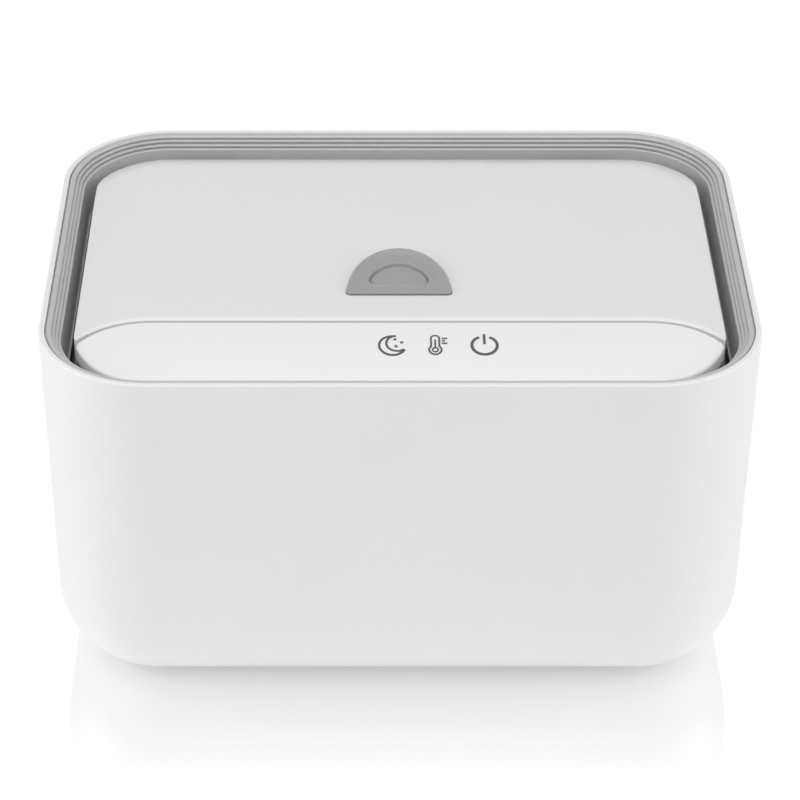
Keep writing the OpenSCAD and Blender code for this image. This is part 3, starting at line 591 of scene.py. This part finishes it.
def makeTrim():
    out = warmer["cornerR"] - trim["outset"]
    ledge = warmer["rimZ"] - trim["ledgeDrop"]
    rib = out - trim["ledgeW"]
    last = rib - trim["ribs"] * trim["ribIn"]
    wall = last - trim["wallRun"]
    inner = wall - trim["floorW"]
    seamW, seamD = trim["seam"]
    leg = trim["leg"]
    bottom = trim["ringZ"]
    wallR, floorR = trim["floorR"]
    points = [(out, bottom), (out, ledge - seamD), (out - seamW, ledge - seamD),
              (out - seamW, ledge, trim["seamR"], 3)]
    for i in range(trim["ribs"] + 1):
        x = rib - i * trim["ribIn"]
        points.append((x, ledge - i * trim["ribDown"], trim["ribR"] if i else trim["ledgeR"], 4))
        if i < trim["ribs"]:
            depth, height = trim["groove"]
            low = ledge - (i + 1) * trim["ribDown"]
            points += [(x, low + height, trim["grooveR"], 2), (x + depth, low + height / 2),
                       (x + depth, low - trim["grooveDip"])]
    points += [(last, ledge - (trim["ribs"] + 1) * trim["ribDown"]), (wall, trim["moatZ"], wallR, 3),
               (inner, trim["moatZ"], floorR, 2), (inner, bottom), (wall + leg, bottom),
               (wall + leg, trim["moatZ"]), (out - leg - 1, ledge - 3 * leg),
               (out - leg, ledge - 3 * leg), (out - leg, bottom)]
    piece = drawSection("trim_skin", points)
    sweepRound(piece, 36)
    finishPiece(piece, "trimAbs", "housing", ("trim_ring",))


lid = {
    "front": 41.8,
    "half": 108.0,
    "gapR": 30.2,
    "wall": 2.2,
    # how far in from the outline each ring over the top lies
    "insets": (0, 0.06, 0.25, 0.55, 0.95, 1.5, 2.3, 3.3, 4.5, 6, 8, 10.5, 13),
    "tipR": 1.1,
    "frontEdge": (2.2, 0.9),    # run and drop of the soft edge: wider at the front than at the sides
    "sideEdge": (0.6, 0.6),
    "cornerRun": 6.0,       # one turns into the other over this width
    "rearDrop": 3.0,        # towards the rear edge the top falls away in a long curve
    "rearRun": 13.0,
    "rearY": (40, 74),      # the fall grows between these places
    "plateZ": 126.6,
    "screws": ((-92, 52), (92, 52), (-92, -32), (92, -32), (0, 63.6)),
    "post": (114.0, 3.4, 13.1),     # foot, radius and height of a screw post
    "bore": (113.0, 1.3, 9.0),
    "tongue": (15.2, 113.7, 117.9),     # width, bottom and top of the latch's slot
    "holeR": 0.1,           # round of the button hole's edge
    "axisY": 67.3,
    "axisZ": 124.0,
}

# the places in the lid that the hinge's arms and springs turn in
hinge = {
    "notchX": 69.6,
    "notchW": 22.6,
    "pocketR": 3.9,
    "pocketZ": 127.4,
}


def frontCorner(inset, gapR):
    # where the island's side meets the arc between lid and panel, and the angle up that arc
    cx = warmer["islandX"]
    cy = warmer["cornerY"]
    radius = warmer["islandR"] - inset
    reach = warmer["gapArcY"] - cy
    below = (radius ** 2 - gapR ** 2 + reach ** 2) / (2 * reach)
    if below < 0:
        tip = (cx + radius, math.sqrt(gapR ** 2 - radius ** 2) - warmer["gapArcY"])
    else:
        tip = (cx + math.sqrt(radius ** 2 - below ** 2), -cy - below)
    return tip, math.degrees(math.atan2(tip[1] + warmer["gapArcY"], tip[0] - cx))


def lidRing(inset, level):
    cx = warmer["islandX"]
    cy = warmer["cornerY"]
    radius = warmer["islandR"] - inset
    tip, above = frontCorner(inset, lid["gapR"] + inset)
    onCorner = tip[1] < -cy
    moves = [("line", cx, cy + radius, 10), ("arc", cx, cy, -90, 24),
             ("line", cx + radius, -cy if onCorner else tip[1] + 3, 12)]
    if onCorner:
        moves.append(("arc", cx, -cy, math.degrees(math.atan2(tip[1] + cy, tip[0] - cx)), 2))
    else:
        moves.append(("line", tip[0], tip[1], 2))
    moves += [("arc", cx, -warmer["gapArcY"], 90 - above, 18), ("line", 0, inset - lid["front"], 10)]
    piece = drawOutline("lidRing", (0, cy + radius, level), moves)
    # the two front tips have a small round
    roundCorner(piece, (tip[0], tip[1], level), max(0.1, lid["tipR"] - 2 * inset), 2)
    return piece


# an even step of an arch starts this many corner radii above the flat edge
roundReach = 1.15


def archAngles(start, past, steps):
    # the first corner of a half-moon, then even steps from beyond its round to the top
    return [start] + [past + (math.pi / 2 - past) * i / steps for i in range(steps + 1)]


def archOutline(name, halfW, length, front, cornerR, low, high):
    # a half-moon with its flat edge to the front
    angles = archAngles(0, math.asin(roundReach * cornerR / length), 24)
    curve = [("line", halfW * math.cos(a), front + length * math.sin(a), 1) for a in angles]
    piece = drawOutline(name, (0, front, low), curve)
    roundCorner(piece, Vector((halfW, front, low)), cornerR, 4)
    return raiseHalf(piece, high - low)


def softenHole(piece, test, offset):
    edit(piece)
    pickEdges(piece, lambda e: all(test(v.co / mm) for v in e.verts))
    bpy.ops.mesh.bevel(offset=offset * mm, segments=3, affect="EDGES", clamp_overlap=False)
    leaveEdit()


def makeLid():
    # the inner wall, the skirt's foot and then the top, from its edge inwards
    chamfer = 0.3
    insets = [lid["wall"], lid["wall"], chamfer, 0, *lid["insets"]]
    piece = loft("lid_shell", [lidRing(inset, level) for level, inset in enumerate(insets)])
    top = warmer["lidZ"]
    skirt = warmer["skirtZ"]

    def height(level, x, y):
        step = round(level)
        if step < 4:
            return (lid["plateZ"], skirt, skirt, skirt + chamfer)[step]
        inset = insets[step]
        fromSide = easeBetween(lid["half"] - inset - abs(x), 0, lid["cornerRun"]) if y < 0 else 0
        run, drop = [a + (b - a) * fromSide for a, b in zip(lid["sideEdge"], lid["frontEdge"])]
        fall = lid["rearDrop"] * easeBetween(y, *lid["rearY"]) * max(0, 1 - inset / lid["rearRun"]) ** 2
        return top - fall - roundDrop(inset / run, 1) * drop
    setHeights(piece, height)
    closeUp(piece)
    foot, radius, tall = lid["post"]
    unite(piece, *[addRod("post", (x, y, foot), radius, tall) for x, y in lid["screws"]])
    foot, radius, tall = lid["bore"]
    cut(piece, *[addRod("bore", (x, y, foot), radius, tall, 24) for x, y in lid["screws"]])
    gap = button["gap"]
    front = -button["front"]
    cut(piece, archOutline("buttonHole", button["half"] + gap, button["length"] + gap, front - gap,
                           button["cornerR"], lid["plateZ"] - 1, top + 2))
    softenHole(piece, lambda co: abs(co.z - top) < touch and abs(co.x) < button["half"] + 1
               and front - 1 < co.y < front + button["length"] + 1, lid["holeR"])
    width, low, high = lid["tongue"]
    front = -lid["front"]
    cut(piece, addBlock("tongueSlot", (-width / 2, front - 2, low), (width / 2, front + 4, high)))
    half = hinge["notchW"] / 2
    reach = hinge["pocketR"]
    y = lid["axisY"]
    for side in (-1, 1):
        x = side * hinge["notchX"]
        cut(piece, addBlock("notch", (x - half, y + 1, skirt - 1), (x + half, y + 21, lid["axisZ"])),
            addBlock("pocket", (x - half, y - reach, skirt), (x + half, y + reach, hinge["pocketZ"])))
    finishPiece(piece, "lidAbs", "lid", ("lid_cover",))


panel = {
    "rear": 43.0,
    "gapR": 29.0,
    "wall": 2.0,
    "drop": 3.5,            # how far the face falls from its rear edge to its front
    "bend": 2.4,            # the face starts level and bends down more and more
    "lipZ": 123.0,
    "insets": (0, 0.05, 0.2, 0.45, 0.8, 1.15, 1.5),
    "tipR": 1.4,
    "rearEdge": (1.5, 0.8),     # run and drop of the rear edge's fall
    "rearBend": 1.4,
    "frontR": 1.3,
    "frontY": (50, 72),     # ahead of the middle, where the fall turns into the front's round
    "rows": (44.5, 1.75, 18),   # first place, distance and number of the cuts that let the face bend
}


def panelFace(y):
    depth = warmer["cornerY"] + warmer["islandR"] - panel["rear"]
    share = min(1, max(0, (-panel["rear"] - y) / depth))
    return warmer["lidZ"] - panel["drop"] * share ** panel["bend"]


def panelRing(inset, level):
    cx = warmer["islandX"]
    cy = warmer["cornerY"]
    radius = warmer["islandR"] - inset
    tip, above = frontCorner(inset, panel["gapR"] - inset)
    turn = math.degrees(math.atan2(-cy - tip[1], tip[0] - cx))
    moves = [("line", cx, -panel["rear"] - inset, 10), ("arc", cx, -warmer["gapArcY"], above - 90, 18),
             ("arc", cx, -cy, turn - 90, 18), ("line", 0, -cy - radius, 10)]
    piece = drawOutline("panelRing", (0, -panel["rear"] - inset, level), moves)
    roundCorner(piece, (tip[0], tip[1], level), max(0.1, panel["tipR"] - inset), 4)
    return piece


def makePanel():
    insets = [panel["wall"], panel["wall"], 0, *panel["insets"]]
    piece = loft("panel_skin", [panelRing(inset, level) for level, inset in enumerate(insets)])
    first, step, count = panel["rows"]
    bisectAcross(piece, [-first - step * i for i in range(count)])

    def height(level, x, y):
        step = round(level)
        if step in (1, 2):
            return panel["lipZ"]
        if step == 0:
            return panelFace(y) - panel["wall"]
        # the fall at the rear turns into a tight round at the front
        front = easeBetween(-y, *panel["frontY"])
        run, drop = panel["rearEdge"]
        fall = drop * max(0, 1 - insets[step] / run) ** panel["rearBend"]
        return panelFace(y) - (1 - front) * fall - front * roundDrop(insets[step], panel["frontR"])
    setHeights(piece, height)
    closeUp(piece)
    finishPiece(piece, "panelAbs", "housing", ("control_panel",))


button = {
    "half": 18.0,
    "length": 28.8,
    "front": 26.4,          # the flat edge's distance ahead of the middle
    "gap": 0.12,
    "low": 0.8,             # the flat edge above the lid
    "rise": 2.2,            # the arc above the lid
    "shoulder": 0.1,        # the straight side ends this far above the lid
    "cornerR": 1.8,
    "leastR": 0.6,          # the corners shrink to this on the way in
    "crest": 0.9,           # the rim's crest lies this far in from the edge
    "dishRun": 4.8,         # inside the rim the cap falls like a dish, steep at first
    "insets": (0, 0.05, 0.2, 0.45, 0.9, 1.4, 2.0, 2.7, 3.4, 4.1, 4.8),
    "sideRise": 0.35,       # share of the rise that the rim has beside the flat edge
    "sideY": (0.3, 6.0),    # the sides grow to it between these places behind the flat edge
    "edgeDrop": 1.0,
    "frontRun": 0.25,
    "frontDrop": 0.15,
    "undercut": 0.25,       # the flat edge overhangs, for a fingertip
    "dentHalf": 10.8,
    "dentLength": 14.6,
    "dentIn": 5.8,
    "dentR": 3.6,
    "dentTaper": 0.6,       # how fast that round shrinks with the inset
    # inset of each ring round the dent, and its height beside the dish: a bead, a groove, the floor
    "dents": ((-1.7, 0), (-1.3, 0.05), (-0.9, 0.24), (-0.5, 0.3), (-0.15, 0.2), (0.1, -0.25),
              (0.25, -0.85), (0.45, -1.25), (0.75, -1.25), (0.95, -0.8), (1.6, -0.72), (2.4, -0.72)),
    "rows": (-4, 19, 1.2),  # first and last cut and their distance, so that the cap can bend
    "flangeW": 1.6,
    "flangeT": 1.4,
    "flangeR": 0.8,
    "flangeZ": 125.1,
    "springSeat": (12.6, 10.0, 2.8, 1.2),   # place across and behind the flat edge, radius and depth
}


def buttonRing(inset, ahead, cornerR, level):
    # half of a half-moon whose oval is centred on the flat edge's own line
    halfW = button["half"] - inset
    length = button["length"] - inset
    start = math.asin(max(0, ahead) / length)
    past = math.asin((max(0, ahead) + roundReach * cornerR) / length)
    front = ahead - button["front"]
    curve = [("line", halfW * math.cos(a), -button["front"] + length * math.sin(a), 1)
             for a in archAngles(start, past, 26)]
    curve[0] = ("line", halfW * math.cos(start), front, 1)
    piece = drawOutline("buttonRing", (0, front, level), curve)
    roundCorner(piece, Vector((halfW * math.cos(start), front, level)), cornerR, 4)
    return piece


def dentRing(inset, level):
    halfW = button["dentHalf"] - inset
    length = button["dentLength"] - 2 * inset
    front = button["dentIn"] - button["front"] + inset
    cornerR = button["dentR"] - inset * button["dentTaper"]
    curve = [("line", halfW * math.cos(a), front + length * math.sin(a), 1)
             for a in archAngles(0, math.asin(roundReach * cornerR / length), 26)]
    piece = drawOutline("dentRing", (0, front, level), curve)
    roundCorner(piece, Vector((halfW, front, level)), cornerR, 4)
    return piece


def makeButton():
    # rings from under the flange, round it, up the side, over the crest and into the dent
    length = button["length"]
    front = -button["front"]
    crest = button["crest"]
    outset = -button["flangeW"]
    cornerR = button["cornerR"]
    rings = [buttonRing(outset, outset, button["flangeR"], level) for level in (0, 1)]
    rings += [buttonRing(0, button["undercut"], cornerR, level) for level in (2, 3)]
    for inset in button["insets"]:
        # the flat edge has a smaller round than the arc
        ahead = inset * button["frontRun"] / crest
        rings.append(buttonRing(inset, ahead, max(button["leastR"], cornerR - inset / 3), len(rings)))
    dents = button["dents"]
    firstDent = len(rings)
    for dent in dents:
        rings.append(dentRing(dent[0], len(rings)))
    piece = loft("release_button_cap", rings)
    first, last, apart = button["rows"]
    bisectAcross(piece, [front + button["dentIn"] + apart * i for i in range(first, last)])

    def height(level, x, y):
        step = round(level)
        foot = button["flangeZ"] + button["flangeT"]
        if step < 4:
            return (button["flangeZ"], foot, foot, warmer["lidZ"] + button["shoulder"])[step]
        dish = warmer["lidZ"] + button["low"]
        if step >= firstDent:
            return dish + dents[step - firstDent][1]
        inset = button["insets"][step - 4]
        side = easeBetween(y - front, *button["sideY"])
        run = min(1, max(0, (y - front) / length))
        share = button["sideRise"] * side + (1 - button["sideRise"]) * run
        rise = (button["rise"] - button["low"]) * share
        inward = min(1, max(0, (inset - crest) / (button["dishRun"] - crest)))
        drop = button["frontDrop"] + (button["edgeDrop"] - button["frontDrop"]) * side
        return dish + rise * (1 - inward) ** 2 - drop * roundDrop(inset / crest, 1)
    setHeights(piece, height)
    closeUp(piece)
    x, behind, radius, depth = button["springSeat"]
    for side in (-1, 1):
        cut(piece, addRod("springSeat", (side * x, behind + front, button["flangeZ"] - 1), radius,
                          depth + 1, 32))
    finishPiece(piece, "buttonAbs", "button", ("release_button",), 50)


icons = {
    "middleY": -57.8,
    "ink": 0.12,
    "sunk": 0.08,           # the ink starts this far below the panel's face
    "stretch": 1.17,        # the marks are a little deeper than wide
    "night": -2.5,
    "warmth": 11.6,
    "power": 27.9,
}


def bandArc(name, middle, radius, width, fromAngle, turn, steps):
    # a flat band along an arc, counter-clockwise for a positive turn
    a = math.radians(fromAngle)
    heading = Vector((math.cos(a), math.sin(a), 0))
    middle = Vector(middle)
    piece = startPoint(name, middle + heading * (radius - width / 2))
    extrudeBy(heading * width)
    bpy.ops.mesh.select_all(action="SELECT")
    spinBy(steps, turn, middle)
    bpy.ops.mesh.select_all(action="SELECT")
    bpy.ops.mesh.remove_doubles(threshold=weld)
    leaveEdit()
    return piece


def bandLine(name, start, end, width):
    start = Vector(start)
    end = Vector(end)
    along = end - start
    side = Vector((-along.y, along.x, 0)).normalized()
    piece = startPoint(name, start - side * (width / 2))
    extrudeBy(side * width)
    bpy.ops.mesh.select_all(action="SELECT")
    for _ in range(3):
        extrudeBy(along / 3)
    leaveEdit()
    return piece


def makeStar(name, x, y, size):
    # a five-pointed star from a ten-sided disc
    clearSelection()
    bpy.ops.mesh.primitive_circle_add(vertices=10, radius=size * mm, fill_type="NGON",
                                      location=Vector((x, y, 0)) * mm)
    piece = bpy.context.object
    piece.name = name
    bpy.ops.object.transform_apply(location=True)
    edit(piece)

    def between(co):
        turn = math.degrees(math.atan2(co.y - y, co.x - x)) - 90
        return round(turn / 36) % 2 == 1
    pickVerts(piece, between)
    bpy.ops.transform.resize(value=(0.5, 0.5, 1), center_override=Vector((x, y, 0)) * mm)
    leaveEdit()
    return piece


def inkDown(name, flats):
    # joins flat marks, gives them their thickness and lays them on the panel
    piece = join(name, flats)
    edit(piece)
    bpy.ops.mesh.select_all(action="SELECT")
    bpy.ops.mesh.normals_make_consistent(inside=False)
    extrudeBy((0, 0, icons["ink"] + icons["sunk"]))
    bpy.ops.mesh.select_all(action="SELECT")
    bpy.ops.mesh.normals_make_consistent(inside=False)
    bpy.ops.transform.resize(value=(1, icons["stretch"], 1), center_override=(0, 0, 0))
    leaveEdit()
    for vert in piece.data.vertices:
        co = vert.co / mm
        y = co.y + icons["middleY"]
        vert.co = Vector((co.x, y, panelFace(y) - icons["sunk"] + co.z)) * mm
    finishPiece(piece, "inkGrey", "housing")


def makeIcons():
    # the marks are drawn round their own middle, in millimetres and degrees
    x = icons["power"]
    inkDown("power_mark", [bandArc("ring", (x, 0, 0), 4.2, 1.0, 114, 312, 48),
                           bandLine("bar", (x, 0.5, 0), (x, 5.4, 0), 0.85)])
    x = icons["night"]
    outline = [bandArc("outerBow", (x, 0, 0), 4.45, 0.8, 76, 257, 44),
               bandArc("innerBow", (x + 1.5, 0.95, 0), 3.6, 0.75, 96, 214, 36)]
    stars = [makeStar("star", x + 0.75, 2.8, 0.72), makeStar("star", x + 3.0, 1.35, 0.72),
             makeStar("star", x + 1.1, -0.5, 0.8)]
    inkDown("night_mark", outline + stars)
    x = icons["warmth"]
    line = 0.62
    half = 1.37
    capY = 3.35
    bulbY = -2.1
    marks = [bandArc("bulb", (x, bulbY, 0), 2.05, line, 132, 276, 36),
             bandArc("cap", (x, capY, 0), half, line, 0, 180, 18)]
    marks += [bandLine("tube", (x + dx, -0.7, 0), (x + dx, capY, 0), line) for dx in (-half, half)]
    marks += [bandArc("mercury", (x, bulbY, 0), 0.92, 0.55, 90, 360, 24),
              bandLine("stem", (x, -1.1, 0), (x, 2.6, 0), 0.6)]
    marks += [bandLine("dash", (x + 2.2, y, 0), (x + end, y, 0), 0.6)
              for y, end in ((3.3, 4.05), (2.1, 3.3), (0.95, 4.05))]
    inkDown("warmth_mark", marks)


tank = {
    "halfX": 100.0,
    "halfY": 47.0,
    "middleY": 10.0,
    "radius": 14.0,
    "floor": 30.0,
    "bottom": 28.4,
    "top": 106.0,
    "wall": 1.6,
    "flange": 4.0,
    "flangeT": 1.5,
    "mouth": ((0, 0.5), (0.15, 0.12), (0.5, 0)),    # the mouth's round: run and drop
    "floorR": 6.0,
    "lug": (4.2, 1.8, 4.0),     # radius, thickness and how far it reaches back into the wall
    "lugZ": 99.0,
    "screwR": 1.6,
}


def tankRing(outset, level):
    halfX = tank["halfX"] + outset
    halfY = tank["halfY"] + outset
    radius = max(1, tank["radius"] + outset)
    y = tank["middleY"]
    moves = [("line", halfX - radius, y + halfY, 6), ("arc", halfX - radius, y + halfY - radius, -90, 12),
             ("line", halfX, y - halfY + radius, 6), ("arc", halfX - radius, y - halfY + radius, -90, 12),
             ("line", 0, y - halfY, 6)]
    return drawOutline("tankRing", (0, y + halfY, level), moves)


def makeTank():
    floorR = tank["floorR"]
    turns = [math.radians(15 * i) for i in range(7)]
    inner = [(floorR * (math.sin(a) - 1), tank["floor"] + floorR * (1 - math.cos(a))) for a in turns]
    thick = tank["wall"]
    outerR = floorR + thick
    under = [(thick - outerR * (1 - math.cos(a)), tank["bottom"] + outerR * (1 - math.sin(a)))
             for a in turns]
    top = tank["top"]
    flange = tank["flange"]
    below = top - tank["flangeT"]
    mouth = [(run, top - drop) for run, drop in tank["mouth"]]
    rim = [(flange - 0.2, top), (flange, top - 0.2), (flange, below), (thick, below)]
    steps = inner + mouth + rim + under
    piece = loft("tank_shell", [tankRing(step[0], level) for level, step in enumerate(steps)])
    setHeights(piece, lambda level, x, y: steps[round(level)][1])
    closeUp(piece)
    y = tank["middleY"]
    z = tank["lugZ"]
    radius, tall, reach = tank["lug"]
    corners = atCorners(tank["halfX"], tank["halfY"])
    lugs = [addRod("lug", (cx - math.copysign(back, cx), y + cy - math.copysign(back, cy), z - tall),
                   radius, tall, 32) for cx, cy in corners for back in (0, reach)]
    unite(piece, *lugs)
    cut(piece, *[addRod("bore", (cx, y + cy, z - 5), tank["screwR"], 10, 24) for cx, cy in corners])
    finishPiece(piece, "tankPolypropylene", "housing", ("tank",))


makeShell()
makeTrim()
makeLid()
makePanel()
makeButton()
makeIcons()
makeTank()


# which finish each CAD node that stays shown gets
nodeFinishes = {
    "base_cover": "baseAbs",
    "rubber_feet": "footRubber",
    "base_screws": "zincSteel",
    "deck_frame": "frameNylonPaintedShade",
    "deck_screws": "zincSteel",
    "panel_screws": "zincSteel",
    "touch_board": "boardGreen",
    "touch_electrodes": "platedBrass",
    "indicator_leds": "lampEpoxy",
    "latch_keeper": "springSteel",
    "tank_gasket": "sealSilicone",
    "tank_screws": "zincSteel",
    "heat_spreader": "rolledAluminium",
    "heater_film": "filmAmber",
    "insulation_pad": "padFoam",
    "thermal_fuse": "fuseCeramic",
    "temperature_sensor": "blackNylon",
    "main_board": "boardGreen",
    "board_parts": "blackNylon",
    "board_screws": "zincSteel",
    "power_inlet": "blackNylon",
    "inlet_nut": "zincSteel",
    "heater_leads": "redSleeve",
    "panel_leads": "greySleeve",
    "inlet_leads": "blackNylon",
    "lid_liner": "tankPolypropylene",
    "lid_screws": "zincSteel",
    "lid_seal": "sealSilicone",
    "hinge_pins": "springSteel",
    "hinge_springs": "springSteel",
    "button_springs": "springSteel",
    "latch_slide": "blackNylon",
    "latch_spring": "springSteel",
}
for nodeName, finish in nodeFinishes.items():
    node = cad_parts[nodeName]
    for i in range(len(node.material_slots)):
        node.material_slots[i].material = finishes[finish]
print("nodes dressed:", len(nodeFinishes))


studio = {
    "camera": (-13.1, -901.1, 652.1),
    "tilt": 57.121,
    "lens": 135.1,
    "shiftX": 0.0493,
    "clipEnd": 50.0,        # metres
    "floorSize": 6000.0,
    "floorTint": ("F4F4F4", "5F5F5F"),  # for the light that it gives, and as it is seen
    "floorGlow": 0.92,
    "mirror": 0.6,
    "mirrorRoughness": 0.02,
    "mirrorFrom": (97, 65, 0),  # the box that the fade starts around
    "mirrorFade": (30, 67),
    "room": 0.19,
    "aim": (0, 0, 80),
    # place, width and height in millimetres, and power in watts
    "lamps": (("overhead", (0, 0, 1500), 1600, 1200, 6.7),
              ("highFront", (0, -1500, 1500), 1600, 800, 11.9),
              ("highLeft", (-1300, -250, 1150), 900, 900, 3.9),
              ("highRight", (1300, -250, 1150), 900, 900, 3.2),
              ("leftSide", (-1380, -350, 420), 1000, 900, 7.9),
              ("rightSide", (1380, -350, 420), 1000, 900, 7.3)),
}


def seenDirectly(tree):
    # one for what the eye, a mirror or clear glass sees, nought for the light that it gives
    path = addNode(tree, "ShaderNodeLightPath")
    seen = path.outputs["Is Camera Ray"]
    for ray in ("Is Glossy Ray", "Is Transmission Ray"):
        both = addNode(tree, "ShaderNodeMath", {"operation": "MAXIMUM"}, {0: seen, 1: path.outputs[ray]})
        seen = both.outputs["Value"]
    return seen


def makeFloor():
    # a white acrylic sheet: matt and bright, with a weak mirror image that fades away from the object
    clearSelection()
    bpy.ops.mesh.primitive_plane_add(size=studio["floorSize"] * mm)
    floor = bpy.context.object
    floor.name = "studio_floor"
    # an index of 1 leaves the shine to the mirror below
    material, tree, shader, place = newFinish("studioFloor", {"Roughness": 0.6, "IOR": 1.0})
    floor.data.materials.append(material)
    seen = seenDirectly(tree)
    given, looked = studio["floorTint"]
    face = addNode(tree, "ShaderNodeMix", {"data_type": "RGBA", 6: colour(given), 7: colour(looked)},
                   {0: seen})
    tree.links.new(face.outputs[2], shader.inputs["Base Color"])
    glow = addNode(tree, "ShaderNodeMath", {"operation": "MULTIPLY", 1: studio["floorGlow"]}, {0: seen})
    shader.inputs["Emission Color"].default_value = (1, 1, 1, 1)
    tree.links.new(glow.outputs["Value"], shader.inputs["Emission Strength"])
    side = addNode(tree, "ShaderNodeVectorMath", {"operation": "ABSOLUTE"}, {0: place})
    box = Vector(studio["mirrorFrom"]) * mm
    past = addNode(tree, "ShaderNodeVectorMath", {"operation": "SUBTRACT", 1: box},
                   {0: side.outputs["Vector"]})
    outside = addNode(tree, "ShaderNodeVectorMath", {"operation": "MAXIMUM"}, {0: past.outputs["Vector"]})
    away = addNode(tree, "ShaderNodeVectorMath", {"operation": "LENGTH"}, {0: outside.outputs["Vector"]})
    near, far = studio["mirrorFade"]
    fade = addNode(tree, "ShaderNodeMapRange", {"From Min": near * mm, "From Max": far * mm,
                                                "To Min": studio["mirror"], "To Max": 0.0},
                   {"Value": away.outputs["Value"]})
    mirror = addNode(tree, "ShaderNodeBsdfGlossy", {"Roughness": studio["mirrorRoughness"],
                                                    "Color": (1, 1, 1, 1)})
    both = addNode(tree, "ShaderNodeMixShader", {},
                   {0: fade.outputs["Result"], 1: shader.outputs["BSDF"], 2: mirror.outputs["BSDF"]})
    out = [node for node in tree.nodes if node.type == "OUTPUT_MATERIAL"][0]
    tree.links.new(both.outputs["Shader"], out.inputs["Surface"])


def makeWorld():
    # a plain room lights the object, and the eye and mirrors see white
    world = bpy.data.worlds.new("studioWorld")
    bpy.context.scene.world = world
    world.use_nodes = True
    tree = world.node_tree
    back = tree.nodes["Background"]
    strength = addNode(tree, "ShaderNodeMapRange", {"To Min": studio["room"], "To Max": 1.0},
                       {"Value": seenDirectly(tree)})
    back.inputs["Color"].default_value = (1, 1, 1, 1)
    tree.links.new(strength.outputs["Result"], back.inputs["Strength"])


def addSoftbox(name, place, width, height, power):
    clearSelection()
    bpy.ops.object.light_add(type="AREA", location=Vector(place) * mm)
    lamp = bpy.context.object
    lamp.name = name
    lamp.data.shape = "RECTANGLE"
    lamp.data.size = width * mm
    lamp.data.size_y = height * mm
    lamp.data.energy = power
    lamp.rotation_euler = (Vector(studio["aim"]) - Vector(place)).to_track_quat("-Z", "Y").to_euler()


def makeStudio():
    makeFloor()
    makeWorld()
    for name, place, width, height, power in studio["lamps"]:
        addSoftbox(name, place, width, height, power)
    clearSelection()
    bpy.ops.object.camera_add(location=Vector(studio["camera"]) * mm,
                              rotation=(math.radians(studio["tilt"]), 0, 0))
    camera = bpy.context.object
    camera.data.lens = studio["lens"]
    camera.data.sensor_width = 36
    camera.data.shift_x = studio["shiftX"]
    camera.data.clip_end = studio["clipEnd"]
    bpy.context.scene.camera = camera
    bpy.context.scene.view_settings.view_transform = "Standard"


makeStudio()
print("studio ready")
